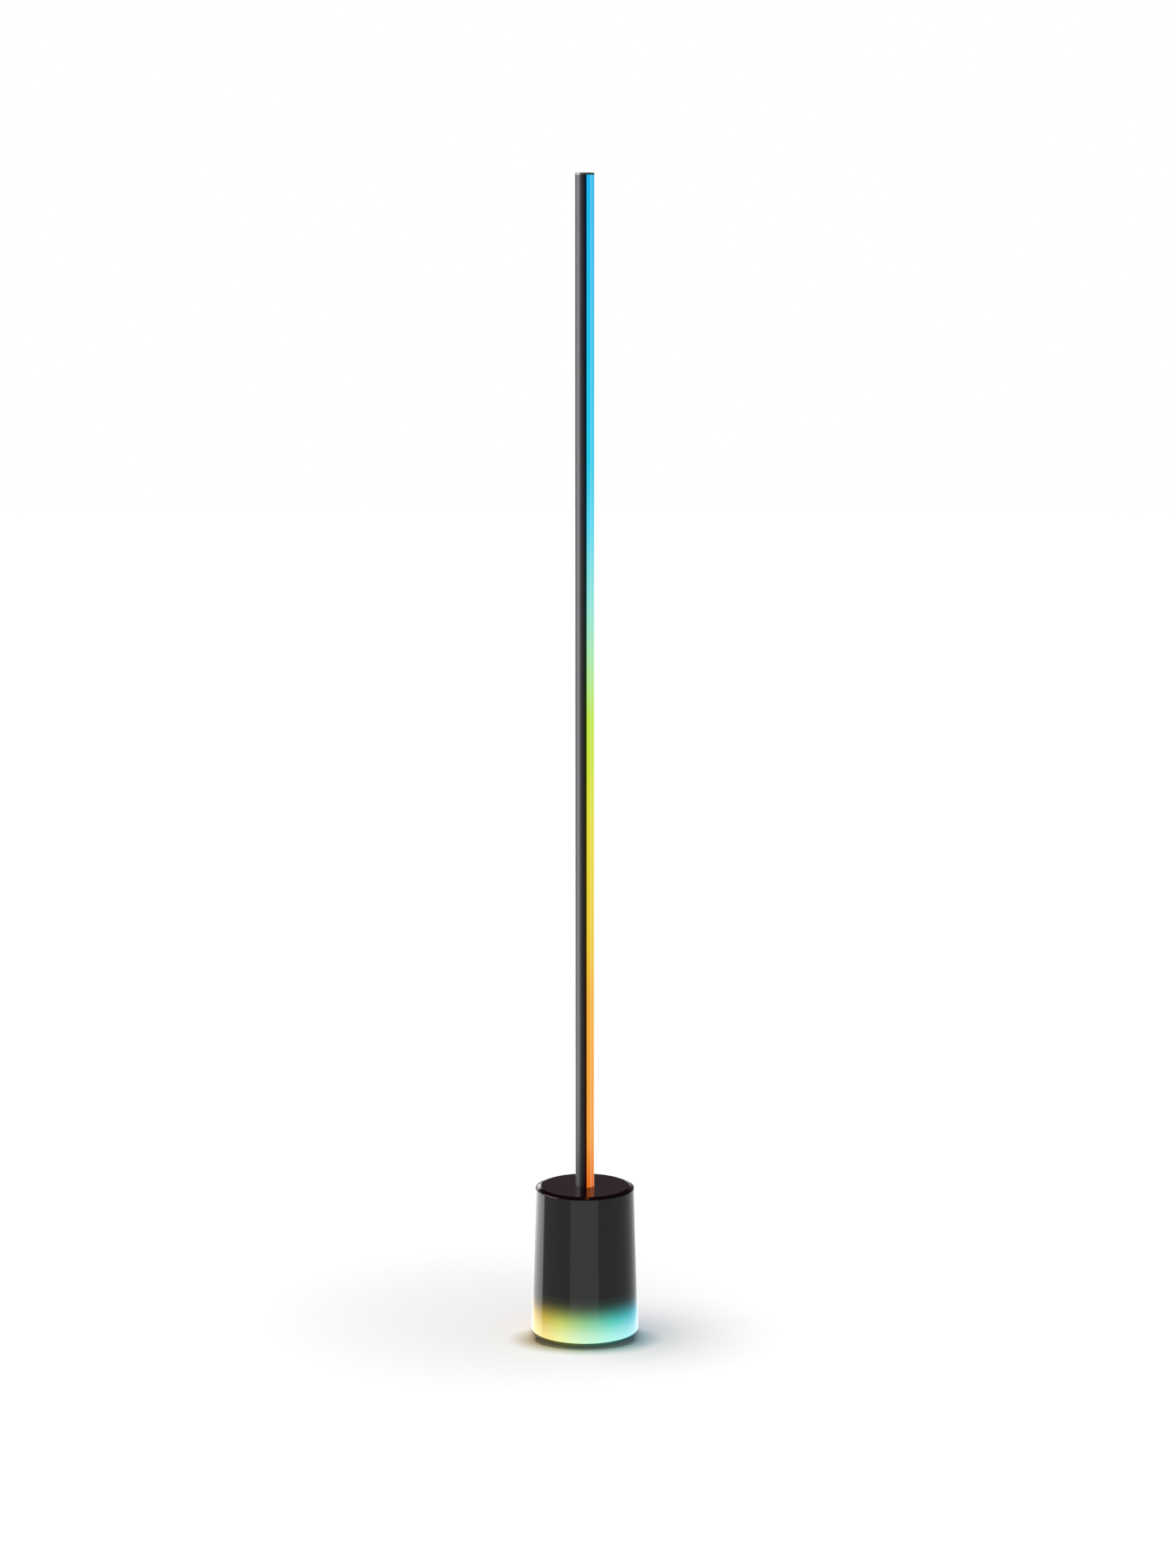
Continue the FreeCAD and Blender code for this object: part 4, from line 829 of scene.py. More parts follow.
def cover_section():
    """Give the cover's section: outer arc, edges, legs with their hooks and inner arc."""
    edge = LIP_ANGLE - SEAM
    outer = arc(POLE_RADIUS, 0, edge - LIP_TURN, steps=40)
    lip = single(POLE_RADIUS - LIP_BREAK, edge)
    leg = arc(LEG_OUTER, edge, HOOK_ANGLES[0], steps=4)
    hook = arc(HOOK, *HOOK_ANGLES, steps=4)
    back = arc(LEG_INNER, HOOK_ANGLES[1], edge - LEG_START, steps=8)
    inner = arc(COVER_INNER, edge - LEG_START, 0, steps=24)
    half = outer + lip + leg + hook + back + inner
    return half + turn_over(half[1:-1])


pole_low, pole_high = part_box("pole_extrusion")
pole = drawn_piece("pole", pole_section(), pole_low.z, pole_high.z, anodised)
stand_for(pole, "pole_extrusion")
light_cover = drawn_piece("light_cover", cover_section(), LIGHT_LOW, LIGHT_HIGH, cover)
stand_for(light_cover, "pole_diffuser")

# %% [markdown]
# ## The cap
#
# A thin moulded disc closes the pole. From the photograph's height it is only a dark line over
# the light, so its broken edge matters more than its face. The plug below it reaches into the
# light channel and keeps it from turning.

# %% Cap
CAP_EDGE = 0.35 * MM
PLUG_HALF = 5.0 * MM
PLUG_GAP = 0.15 * MM


def box_into(mesh, low, high):
    """Add a plain block between two corners to a mesh."""
    made = bmesh.ops.create_cube(mesh, size=1.0)["verts"]
    for vertex in made:
        vertex.co = [low[i] + (vertex.co[i] + 0.5) * (high[i] - low[i]) for i in range(3)]


def make_cap():
    """Turned cap disc with a broken edge, and the plug below it."""
    low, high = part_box("top_cap")
    face = pole_high.z
    outline = rounded([(0, face, 0), (POLE_RADIUS, face, 0),
                       (POLE_RADIUS, high.z, CAP_EDGE), (0, high.z, 0)])
    mesh = turned_mesh(outline, SMALL_TURNS)
    box_into(mesh, (WEB_FRONT + PLUG_GAP, -PLUG_HALF, low.z), (-WEB_FRONT, PLUG_HALF, face))
    stand_for(new_piece("cap", mesh, cap_finish), "top_cap")


make_cap()

# %% [markdown]
# ## The drum's shell
#
# The shell is a straight taper with a fine rim and, inside, the lip that carries the deck. At
# the back it is bored for the button and the power inlet. Heights that the packed pieces
# already have are read from them, so that the shell fits what stands in it.

# %% Sizes of the shell
SHELL_LOW, SHELL_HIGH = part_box("base_shell")[0].z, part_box("base_shell")[1].z
SKIRT_RADIUS = 66.2 * MM
RIM_RADIUS = 60.9 * MM
SHELL_WALL = 2.4 * MM
SKIRT_EDGE = 0.5 * MM
SKIRT_INNER_EDGE = 0.3 * MM
RIM_LAND = 0.7 * MM
RIM_BREAK = 0.3 * MM
LIP_TOP = SHELL_HIGH - 3.0 * MM
LIP_BOTTOM = LIP_TOP - 2.5 * MM
LIP_REACH = 5.0 * MM
BOSS_DEPTH = 4.1 * MM
OPEN_AIR = 80.0 * MM
BUTTON_HEIGHT = middle_height("power_button")
INLET_HEIGHT = middle_height("inlet_jack")
BEZEL_WALL = 2.0 * MM
FLANGE_WALL = 1.6 * MM
BUTTON_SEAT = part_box("button_bezel")[1].y - BEZEL_WALL
INLET_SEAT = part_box("inlet_jack")[1].y - FLANGE_WALL
BEZEL_RADIUS = 8.0 * MM
FLANGE_RADIUS = 7.0 * MM
SEAT_GAP = 0.3 * MM
BUTTON_BOSS = BEZEL_RADIUS + 1.5 * MM
INLET_BOSS = FLANGE_RADIUS + 2.0 * MM
BUTTON_BORE = 5.85 * MM
INLET_BORE = 5.45 * MM


def shell_radius(z):
    """Give the shell's outer radius at a height."""
    return SKIRT_RADIUS - (z - SHELL_LOW) / (SHELL_HIGH - SHELL_LOW) * (SKIRT_RADIUS - RIM_RADIUS)


print("button at", round(BUTTON_HEIGHT, 4), "and inlet at", round(INLET_HEIGHT, 4), "m")

# %% [markdown]
# ## Joining on and cutting out
#
# A flat seat on a taper has an edge that no simple outline gives. So bosses are joined on and
# seats cut out by boolean modifiers, and the result is kept as a plain mesh. Every tool is a
# cylinder along the axis that points to the back.

# %% Boolean tools
def barrel(radius, start, stop, height):
    """Make a cylinder along the rear axis at a height, to join on or to cut with."""
    outline = [(0, start), (radius, start), (radius, stop), (0, stop)]
    mesh = turned_mesh(outline, SMALL_TURNS, height)
    bmesh.ops.recalc_face_normals(mesh, faces=mesh.faces)
    data = bpy.data.meshes.new("barrel")
    mesh.to_mesh(data)
    mesh.free()
    tool = bpy.data.objects.new("barrel", data)
    bpy.context.scene.collection.objects.link(tool)
    return tool


def combine(piece, operation, tools):
    """Join on or cut out shapes, and keep the result as a plain mesh."""
    for tool in tools:
        modifier = piece.modifiers.new("combine", "BOOLEAN")
        modifier.operation = operation
        modifier.solver = "EXACT"
        modifier.object = tool
    bpy.context.view_layer.update()
    graph = bpy.context.evaluated_depsgraph_get()
    piece.data = bpy.data.meshes.new_from_object(piece.evaluated_get(graph))
    piece.modifiers.clear()
    for tool in tools:
        bpy.data.objects.remove(tool)


print("the seats are", *(round(2 * (radius + SEAT_GAP), 4) for radius in
                         (BEZEL_RADIUS, FLANGE_RADIUS)), "m across")

# %% [markdown]
# ## Turning and cutting the shell
#
# The outline is turned once, two bosses are joined on inside the back wall, and two seats and
# two bores are cut. The faces of the rim's rounded edge get a painted shade: the matt black that
# mirrors nothing.

# %% Shell
def make_shell():
    """Tapered shell with a fine rim, its inner lip, and the seats at the back."""
    rebate = RIM_RADIUS - RIM_LAND
    outline = rounded([
        (SKIRT_RADIUS, SHELL_LOW, SKIRT_EDGE),
        (RIM_RADIUS, SHELL_HIGH, RIM_BREAK),
        (rebate, SHELL_HIGH, RIM_BREAK),
        (rebate, LIP_TOP, 0),
        (rebate - LIP_REACH, LIP_TOP, 0),
        (rebate - LIP_REACH, LIP_BOTTOM, 0),
        (shell_radius(LIP_BOTTOM) - SHELL_WALL, LIP_BOTTOM, 0),
        (SKIRT_RADIUS - SHELL_WALL, SHELL_LOW, SKIRT_INNER_EDGE),
    ])
    piece = new_piece("shell", turned_mesh(outline, TURNS), shell_finish, body=None)
    combine(piece, "UNION", [
        barrel(BUTTON_BOSS, BUTTON_SEAT - BOSS_DEPTH, BUTTON_SEAT, BUTTON_HEIGHT),
        barrel(INLET_BOSS, INLET_SEAT - BOSS_DEPTH, INLET_SEAT, INLET_HEIGHT)])
    combine(piece, "DIFFERENCE", [
        barrel(BEZEL_RADIUS + SEAT_GAP, BUTTON_SEAT, OPEN_AIR, BUTTON_HEIGHT),
        barrel(FLANGE_RADIUS + SEAT_GAP, INLET_SEAT, OPEN_AIR, INLET_HEIGHT),
        barrel(BUTTON_BORE, BUTTON_SEAT - 2 * BOSS_DEPTH, OPEN_AIR, BUTTON_HEIGHT),
        barrel(INLET_BORE, INLET_SEAT - 2 * BOSS_DEPTH, OPEN_AIR, INLET_HEIGHT)])
    smooth(piece.data, SHARP_DRAWN)
    # Painted shade: the rim's rounded edge gets the matt black that mirrors nothing.
    piece.data.materials.append(rim_shade)
    for face in piece.data.polygons:
        if face.center.z > SHELL_HIGH - RIM_BREAK:
            face.material_index = 1
    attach(piece, "lamp")
    stand_for(piece, "base_shell")


make_shell()

# %% [markdown]
# ## The deck
#
# The deck drops into the rim, stands a little proud and slopes down to it. From above, the
# slope shows as a bright crescent at the left and a dark band at the right. Its two edges are
# broken by small radii, and it ends a hair inside the rim, which leaves the fine black gap.

# %% Deck
DECK_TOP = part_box("deck_disc")[1].z
DECK_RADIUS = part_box("deck_disc")[1].x
DECK_WALL = 3.0 * MM
BEVEL_WIDTH = 5.4 * MM
DECK_FOOT = 3.2 * MM
DECK_EDGE = 0.8 * MM
FLAT_EDGE = 0.6 * MM
HOLE_EDGE = 0.25 * MM
POLE_HOLE = POLE_RADIUS + 0.3 * MM


def make_deck():
    """Raised deck: a flat, a sloping edge and the foot ring that stands on the shell's lip."""
    outline = rounded([
        (POLE_HOLE, DECK_TOP, HOLE_EDGE),
        (POLE_HOLE, DECK_TOP - DECK_WALL, 0),
        (DECK_RADIUS - DECK_FOOT, DECK_TOP - DECK_WALL, 0),
        (DECK_RADIUS - DECK_FOOT, LIP_TOP, 0),
        (DECK_RADIUS, LIP_TOP, 0),
        (DECK_RADIUS, SHELL_HIGH, DECK_EDGE),
        (DECK_RADIUS - BEVEL_WIDTH, DECK_TOP, FLAT_EDGE),
    ])
    piece = new_piece("deck", turned_mesh(outline, TURNS), deck_finish, sharp=SHARP_DECK)
    stand_for(piece, "deck_disc")


make_deck()
print("deck at", round(DECK_TOP, 4), "radius", round(DECK_RADIUS, 4))

# %% [markdown]
# ## The button at the back
#
# The photograph doesn't show it, so it is plain: a push button with a shallow dish for the
# fingertip, in a gloss bezel, turned on the axis that points to the back. The dish is a row of
# shares of the button's radius and of its own depth. Only the button moves, so it rides on its
# own body.

# %% Button and bezel
BUTTON_RADIUS = 5.5 * MM
BUTTON_GAP = 0.35 * MM
BUTTON_BEVEL = 0.6 * MM
DISH_DEPTH = 0.35 * MM
DISH = [(0.0, 1.0), (0.30, 0.92), (0.55, 0.60), (0.72, 0.22), (0.82, 0.0)]
BEZEL_EDGE = 0.7 * MM
BEZEL_HOLE_EDGE = 0.25 * MM
COLLAR_RADIUS = 7.2 * MM
COLLAR_WALL = 1.4 * MM
STEM_RADIUS = 2.0 * MM


def make_button():
    """Push button: dished cap, the collar that keeps it in, and its stem."""
    low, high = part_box("power_button")
    collar_face = BUTTON_SEAT - BOSS_DEPTH - BUTTON_GAP
    outline = [(share * BUTTON_RADIUS, high.y - depth * DISH_DEPTH) for share, depth in DISH]
    outline += rounded([
        (BUTTON_RADIUS, high.y, BUTTON_BEVEL), (BUTTON_RADIUS, collar_face, 0),
        (COLLAR_RADIUS, collar_face, 0), (COLLAR_RADIUS, collar_face - COLLAR_WALL, 0),
        (STEM_RADIUS, collar_face - COLLAR_WALL, 0), (STEM_RADIUS, low.y, 0), (0, low.y, 0),
        (0, high.y, 0)])[:-1]
    mesh = turned_mesh(outline, SMALL_TURNS, BUTTON_HEIGHT)
    piece = new_piece("button_cap", mesh, button_finish, "button")
    stand_for(piece, "power_button")


def make_bezel():
    """Ring round the button, with both front edges broken."""
    hole = BUTTON_RADIUS + BUTTON_GAP
    face = BUTTON_SEAT + BEZEL_WALL
    outline = rounded([(hole, BUTTON_SEAT, 0), (BEZEL_RADIUS, BUTTON_SEAT, 0),
                       (BEZEL_RADIUS, face, BEZEL_EDGE), (hole, face, BEZEL_HOLE_EDGE)])
    mesh = turned_mesh(outline, SMALL_TURNS, BUTTON_HEIGHT)
    stand_for(new_piece("bezel", mesh, bezel_finish), "button_bezel")


make_button()
make_bezel()

# %% [markdown]
# ## The inlet at the back
#
# It isn't in the photograph either: a round low-voltage inlet of the usual size. Its blind bore
# takes the plug, and the pin in the bore is a packed piece that stays. The square tail behind
# the barrel holds the contacts.

# %% Inlet
BORE_RADIUS = 3.0 * MM
BORE_DEPTH = 10.0 * MM
BARREL_RADIUS = 5.4 * MM
BARREL_LENGTH = 10.6 * MM
FLANGE_EDGE = 0.5 * MM
SMALL_EDGE = 0.3 * MM
TAIL_HALF = 4.5 * MM


def make_inlet():
    """Flange, barrel and blind bore of the inlet, and its square tail."""
    face = INLET_SEAT + FLANGE_WALL
    back = INLET_SEAT - BARREL_LENGTH
    floor = face - BORE_DEPTH
    outline = rounded([
        (0, floor, 0), (BORE_RADIUS, floor, 0), (BORE_RADIUS, face, SMALL_EDGE),
        (FLANGE_RADIUS, face, FLANGE_EDGE), (FLANGE_RADIUS, INLET_SEAT, 0),
        (BARREL_RADIUS, INLET_SEAT, 0), (BARREL_RADIUS, back, SMALL_EDGE), (0, back, 0)])
    mesh = turned_mesh(outline, SMALL_TURNS, INLET_HEIGHT)
    tail_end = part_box("inlet_jack")[0].y
    box_into(mesh, (-TAIL_HALF, tail_end, INLET_HEIGHT - TAIL_HALF),
             (TAIL_HALF, back, INLET_HEIGHT + TAIL_HALF))
    stand_for(new_piece("inlet", mesh, moulding), "inlet_jack")


make_inlet()

# %% [markdown]
# ## Where the screws sit
#
# The packed model already says where each screw of a set sits. The script walks along the edges
# of the packed mesh to find every loose solid and keeps its lowest and highest corner. They are
# sorted, so that every run gives the same order.

# %% Loose solids
LOOSE_MERGE = 1e-6


def loose_solids(node):
    """Give the lowest and highest corner of every loose solid of a piece, in a fixed order."""
    mesh = bmesh.new()
    mesh.from_mesh(nodes[node].data)
    bmesh.ops.remove_doubles(mesh, verts=mesh.verts, dist=LOOSE_MERGE)
    left, boxes = set(mesh.verts), []
    while left:
        edge = [left.pop()]
        island = list(edge)
        while edge:
            for link in edge.pop().link_edges:
                for vertex in link.verts:
                    if vertex in left:
                        left.remove(vertex)
                        edge.append(vertex)
                        island.append(vertex)
        axes = [[vertex.co[axis] for vertex in island] for axis in range(3)]
        boxes.append((Vector(map(min, axes)), Vector(map(max, axes))))
    mesh.free()
    return sorted(boxes, key=lambda box: tuple(box[0]))


print(len(loose_solids("pan_screws")), "screws hold the pan")

# %% [markdown]
# ## Geometry Nodes: a screw on every point
#
# Every set of screws is the same shape repeated: a head with a cross recess on a shank. The
# recess is two crossed slots, given as shares of the head's radius. They are cut from the head
# before it is repeated, so the cut is made only once.

# %% Screw tree
SCREW_TURNS = 32
SLOT_LENGTH = 1.15
SLOT_WIDTH = 0.26


def make_screw_tree():
    """Tree that sets a cross-head screw on every point; the head's face is at the point."""
    recipe, sizes, end = new_tree("screws", {
        "Head": "Float", "Head Height": "Float", "Shank": "Float", "Length": "Float",
        "Turn": "Vector", "Coat": "Material"})

    def rod(radius, start, length):
        """Add a cylinder that starts at a depth below the face."""
        shape = recipe.node("GeometryNodeMeshCylinder", {"fill_type": "NGON"},
                            Vertices=SCREW_TURNS, Radius=radius, Depth=length)
        middle = recipe.node("ShaderNodeCombineXYZ", Z=0.0 - start - length / 2)
        return recipe.node("GeometryNodeTransform", Geometry=shape, Translation=middle)

    def slot(along_x):
        """Add a slot of the cross recess, as deep as half of the head."""
        long, narrow = sizes["Head"] * SLOT_LENGTH, sizes["Head"] * SLOT_WIDTH
        size = recipe.node("ShaderNodeCombineXYZ", X=long if along_x else narrow,
                           Y=narrow if along_x else long, Z=sizes["Head Height"])
        return recipe.node("GeometryNodeMeshCube", Size=size)

    head = rod(sizes["Head"], 0.0, sizes["Head Height"])
    cut = recipe.tree.nodes.new("GeometryNodeMeshBoolean")
    cut.operation = "DIFFERENCE"
    recipe.tree.links.new(head.socket, cut.inputs["Mesh 1"])
    for along_x in (True, False):
        recipe.tree.links.new(slot(along_x).socket, cut.inputs["Mesh 2"])
    join = recipe.tree.nodes.new("GeometryNodeJoinGeometry")
    shank = rod(sizes["Shank"], sizes["Head Height"], sizes["Length"])
    for part in (Value(recipe, cut.outputs[0]), shank):
        recipe.tree.links.new(part.socket, join.inputs[0])
    points = recipe.node("GeometryNodeMeshToPoints", Mesh=sizes["Geometry"])
    screws = recipe.node("GeometryNodeInstanceOnPoints", Points=points,
                         Instance=Value(recipe, join.outputs[0]), Rotation=sizes["Turn"])
    return close_tree(recipe, screws, sizes["Coat"], end)


screw_tree = make_screw_tree()
print("the screw tree has", len(screw_tree.nodes), "nodes")

# %% [markdown]
# ## Setting the screws
#
# One point per screw, at the middle of its face, is all that the tree needs. A turn says where
# the heads look, and two sizes say how high a head is and how thick a shank. The head's width
# and the whole length come from the packed screws.

# %% Screws
TO_FRONT = (math.pi / 2, 0.0, 0.0)
FACE_UP = (0.0, 0.0, 0.0)
FACE_DOWN = (math.pi, 0.0, 0.0)
LARGE = (1.8 * MM, 1.5 * MM)
SMALL = (1.3 * MM, 1.1 * MM)
SCREW_SETS = [("pan_screws", FACE_DOWN, LARGE), ("deck_screws", FACE_DOWN, LARGE),
              ("glow_screws", FACE_UP, SMALL), ("board_screws", TO_FRONT, SMALL),
              ("button_screws", TO_FRONT, SMALL)]


def make_screws(node, turn, head_height, shank):
    """Set a screw in every place of a packed set, with its head facing up, down or forward."""
    mesh = bmesh.new()
    for low, high in loose_solids(node):
        middle = (low + high) / 2
        mesh.verts.new({FACE_UP: (middle.x, middle.y, high.z),
                        FACE_DOWN: (middle.x, middle.y, low.z),
                        TO_FRONT: (middle.x, low.y, middle.z)}[turn])
        head = (high.x - low.x) / 2
        length = max(high - low) - head_height
    data = bpy.data.meshes.new(node)
    mesh.to_mesh(data)
    mesh.free()
    piece = bpy.data.objects.new(node + "_cross", data)
    bpy.context.scene.collection.objects.link(piece)
    grow(piece, screw_tree, Head=head, Head_Height=head_height, Shank=shank, Length=length,
         Turn=turn, Coat=plated_steel)
    smooth(piece.data, SHARP_TURNED)
    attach(piece, "lamp")
    stand_for(piece, node)


for screws, turn, (head_height, shank) in SCREW_SETS:
    make_screws(screws, turn, head_height, shank)

# %% [markdown]
# ## Geometry Nodes: the light chips
#
# A light chip is a white case with a round yellow window. Both trees build the same chip and
# differ only in where it goes: along a line, or round a circle with each chip turned to face
# along the radius. Case and window keep their own materials, so each is made real by itself.

# %% Chip trees
CHIP_SIDE = 5.0 * MM
CHIP_HEIGHT = 1.6 * MM
WINDOW_RADIUS = 1.9 * MM
WINDOW_RISE = 0.1 * MM
WINDOW_TURNS = 20


def chip_shapes(recipe):
    """Build a chip on its own base plane, looking up: case and window."""
    case_height = CHIP_HEIGHT - WINDOW_RISE
    case = recipe.node("GeometryNodeMeshCube", Size=(CHIP_SIDE, CHIP_SIDE, case_height))
    case = recipe.node("GeometryNodeTransform", Geometry=case, Translation=(0, 0, case_height / 2))
    window = recipe.node("GeometryNodeMeshCylinder", {"fill_type": "NGON"},
                         Vertices=WINDOW_TURNS, Radius=WINDOW_RADIUS, Depth=WINDOW_RISE)
    window = recipe.node("GeometryNodeTransform", Geometry=window,
                         Translation=(0, 0, CHIP_HEIGHT - WINDOW_RISE / 2))
    return {"Case": case, "Window": window}


def close_chips(recipe, sizes, points, turn, end):
    """End a tree: set cases and windows on the points, real and each in its own material."""
    join = recipe.tree.nodes.new("GeometryNodeJoinGeometry")
    for coat, shape in chip_shapes(recipe).items():
        chips = recipe.node("GeometryNodeInstanceOnPoints", Points=points, Instance=shape,
                            Rotation=turn)
        real = recipe.node("GeometryNodeRealizeInstances", Geometry=chips)
        done = recipe.node("GeometryNodeSetMaterial", Geometry=real, Material=sizes[coat])
        recipe.tree.links.new(done.socket, join.inputs[0])
    recipe.feed(end.inputs[0], Value(recipe, join.outputs[0]))
    return recipe.tree


def make_row_tree():
    """Tree of chips in a row upwards, facing +X."""
    recipe, sizes, end = new_tree("chip_row", {
        "Count": "Int", "Pitch": "Float", "First": "Vector",
        "Case": "Material", "Window": "Material"})
    step = recipe.node("ShaderNodeCombineXYZ", Z=sizes["Pitch"])
    line = recipe.node("GeometryNodeMeshLine", Count=sizes["Count"], Start_Location=sizes["First"],
                       Offset=step)
    return close_chips(recipe, sizes, line, (0.0, math.pi / 2, 0.0), end)


def make_ring_tree():
    """Tree of chips round a circle, facing up."""
    recipe, sizes, end = new_tree("chip_ring", {
        "Count": "Int", "Radius": "Float", "Height": "Float",
        "Case": "Material", "Window": "Material"})
    ring = recipe.node("GeometryNodeMeshCircle", Vertices=sizes["Count"], Radius=sizes["Radius"])
    lift = recipe.node("ShaderNodeCombineXYZ", Z=sizes["Height"])
    ring = recipe.node("GeometryNodeTransform", Geometry=ring, Translation=lift)
    angle = recipe.node("GeometryNodeInputIndex") * math.tau / sizes["Count"]
    turn = recipe.node("ShaderNodeCombineXYZ", Z=angle)
    return close_chips(recipe, sizes, ring, turn, end)


print("a chip is", round(CHIP_SIDE / MM, 1), "mm wide and", round(CHIP_HEIGHT / MM, 1), "mm high")

# %% [markdown]
# ## Setting the chips
#
# The strip has one chip every 16.6 mm and the ring has one every 15 degrees. Where the row
# starts, how many chips fill it and how wide the ring is are read from the packed chips.

# %% Light chips
CHIP_PITCH = 16.6 * MM
RING_COUNT = 24


def make_chips(name, node, tree, **sizes):
    """Grow a set of chips and let it stand for the packed one."""
    piece = bpy.data.objects.new(name, bpy.data.meshes.new(name))
    bpy.context.scene.collection.objects.link(piece)
    grow(piece, tree, Case=chip_case, Window=chip_window, **sizes)
    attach(piece, "lamp")
    stand_for(piece, node)


row_low, row_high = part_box("strip_leds")
row_count = round((row_high.z - row_low.z - CHIP_SIDE) / CHIP_PITCH) + 1
make_chips("chip_row", "strip_leds", make_row_tree(), Count=row_count, Pitch=CHIP_PITCH,
           First=(row_low.x, 0.0, row_low.z + CHIP_SIDE / 2))
ring_low, ring_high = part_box("glow_leds")
make_chips("chip_ring", "glow_leds", make_ring_tree(), Count=RING_COUNT,
           Radius=ring_high.x - CHIP_SIDE / 2, Height=ring_low.z)
print(row_count, "chips in the pole")

# %% [markdown]
# ## Dress the packed pieces that stay
#
# Pieces whose shape is already right keep their mesh and only get a finish. One table says
# which finish belongs to which piece, so nothing is left in its default grey.

# %% Finishes of the packed pieces
DRESS = {
    plated_steel: ["plug_screw", "pole_bolt", "bolt_washer", "column_screws", "post_screws",
                   "inlet_nut"],
    moulding: ["pole_plug", "chassis"],
    foot_finish: ["base_pan"],
    case_black: ["strip_connector", "board_parts", "switch_plunger", "switch_body"],
    lead_cover: ["inlet_lead", "button_lead", "glow_lead", "strip_lead"],
    white_board: ["strip_board", "glow_board"],
    green_board: ["control_board", "button_board"],
    black_steel: ["column"],
    cast_iron: ["counterweight"],
    milky: ["glow_diffuser"],
    rubber: ["foot_pad"],
    brass: ["inlet_pin"],
}
for material, names in DRESS.items():
    for name in names:
        slots = nodes[name].data.materials
        slots.clear()
        slots.append(material)
print(sum(len(names) for names in DRESS.values()), "packed pieces dressed")

# %% [markdown]
# ## Floor
#
# The lamp stands on a plain white floor that runs to the horizon. The floor is lit like
# everything else and keeps the lamp's soft shadow. Close round the foot a painted shade darkens
# it, most in front, and there it takes some of the ring's colour as painted light. A last lift to
# white is added only for what the camera sees, so it puts no light on the lamp. Round a place at
# the left of the lamp the lift is left out, which paints a broad faint shade there. Mirrors see
# the studio's cards instead of the floor, as they would on a glass table.

# %% Floor
FLOOR_RADIUS = 16.0
FLOOR_TURNS = 128
FLOOR_TONE = (0.79, 0.79, 0.79)
SHADE_TONE = (0.10, 0.10, 0.10)
SHADE_SHIFT = 0.032
SHADE_FLAT = 1.5
SHADE_START = 0.061
SHADE_WIDTH = 0.036
SHADE_CURVE = 0.5
BEHIND_EASE = 0.6
PAINTED_SPILL = 0.60
PAINTED_SPILL_BACK = 0.030
BROAD_SHADE_LIFT = 0.00
FAR_LIFT = 0.17
BROAD_SHADE_PLACE = (-0.12, 0.07)
BROAD_SHADE_REACH = 0.05
FAR_REACH = 0.50


def make_floor():
    """Pale floor, lifted to white for the eye alone."""
    mesh = bmesh.new()
    bmesh.ops.create_circle(mesh, cap_ends=True, segments=FLOOR_TURNS, radius=FLOOR_RADIUS)
    data = bpy.data.meshes.new("floor")
    mesh.to_mesh(data)
    mesh.free()
    floor = bpy.data.objects.new("floor", data)
    bpy.context.scene.collection.objects.link(floor)
    finish = Finish("pale_floor", Roughness=0.9, Specular_IOR_Level=0.0)
    # Painted shade round the foot, darkest in front, tinted by a painted spill of the ring's
    # colour.
    reach = distance(finish.x, (finish.y + SHADE_SHIFT) * SHADE_FLAT)
    reach = reach + finish.maths("MAXIMUM", finish.y, 0.0) * BEHIND_EASE
    open_share = finish.node("ShaderNodeMapRange", Value=reach, From_Min=SHADE_START,
                             From_Max=SHADE_START + SHADE_WIDTH) ** SHADE_CURVE
    front = 1.0 - finish.fade(finish.y, 0.0, PAINTED_SPILL_BACK)
    painted_spill = finish.mix((1.0 - open_share) * front * PAINTED_SPILL, WHITE, ring_colour(finish))
    tone = finish.mix(open_share, SHADE_TONE, FLOOR_TONE)
    finish.paint(Base_Color=finish.mix(1.0, tone, painted_spill, "MULTIPLY"))
    # Less lift round a place left of the lamp: a painted broad shade, also letting real shadow
    # show.
    across, along = finish.x - BROAD_SHADE_PLACE[0], finish.y - BROAD_SHADE_PLACE[1]
    colour = finish.mix(finish.fade(distance(across, along), BROAD_SHADE_REACH, FAR_REACH),
                        (BROAD_SHADE_LIFT, BROAD_SHADE_LIFT, BROAD_SHADE_LIFT), (FAR_LIFT, FAR_LIFT, FAR_LIFT))
    plain = Value(finish, finish.shader.outputs[0])
    lift = finish.node("ShaderNodeEmission", Color=colour)
    lifted = finish.node("ShaderNodeAddShader", _0=plain, _1=lift)
    shown = finish.node("ShaderNodeMixShader", _0=finish.node("ShaderNodeLightPath"),
                        _1=plain, _2=lifted)
    finish.feed(finish.tree.nodes["Material Output"].inputs["Surface"], shown)
    data.materials.append(finish.material)
    floor.visible_glossy = False


make_floor()
print("floor", 2 * FLOOR_RADIUS, "m across, painted darker up to",
      round(SHADE_START + SHADE_WIDTH, 3), "m")

# %% [markdown]
# ## The studio
#
# Gloss black has hardly any colour of its own: its shape is drawn by what it mirrors. A
# photographer sets cards round it, and here the world does the same for mirror rays alone: a
# bright card behind at the left, a soft one behind at the right and a pale one behind the
# camera. Between them it is dark, above them darker with a trace of red, and overhead black.
# Every other ray meets one even soft light. The cards' edges are fades: from one turn to
# another, in degrees from the camera's side and to the right, or from one height of the ray to
# another, from -1 straight down to 1 straight up.

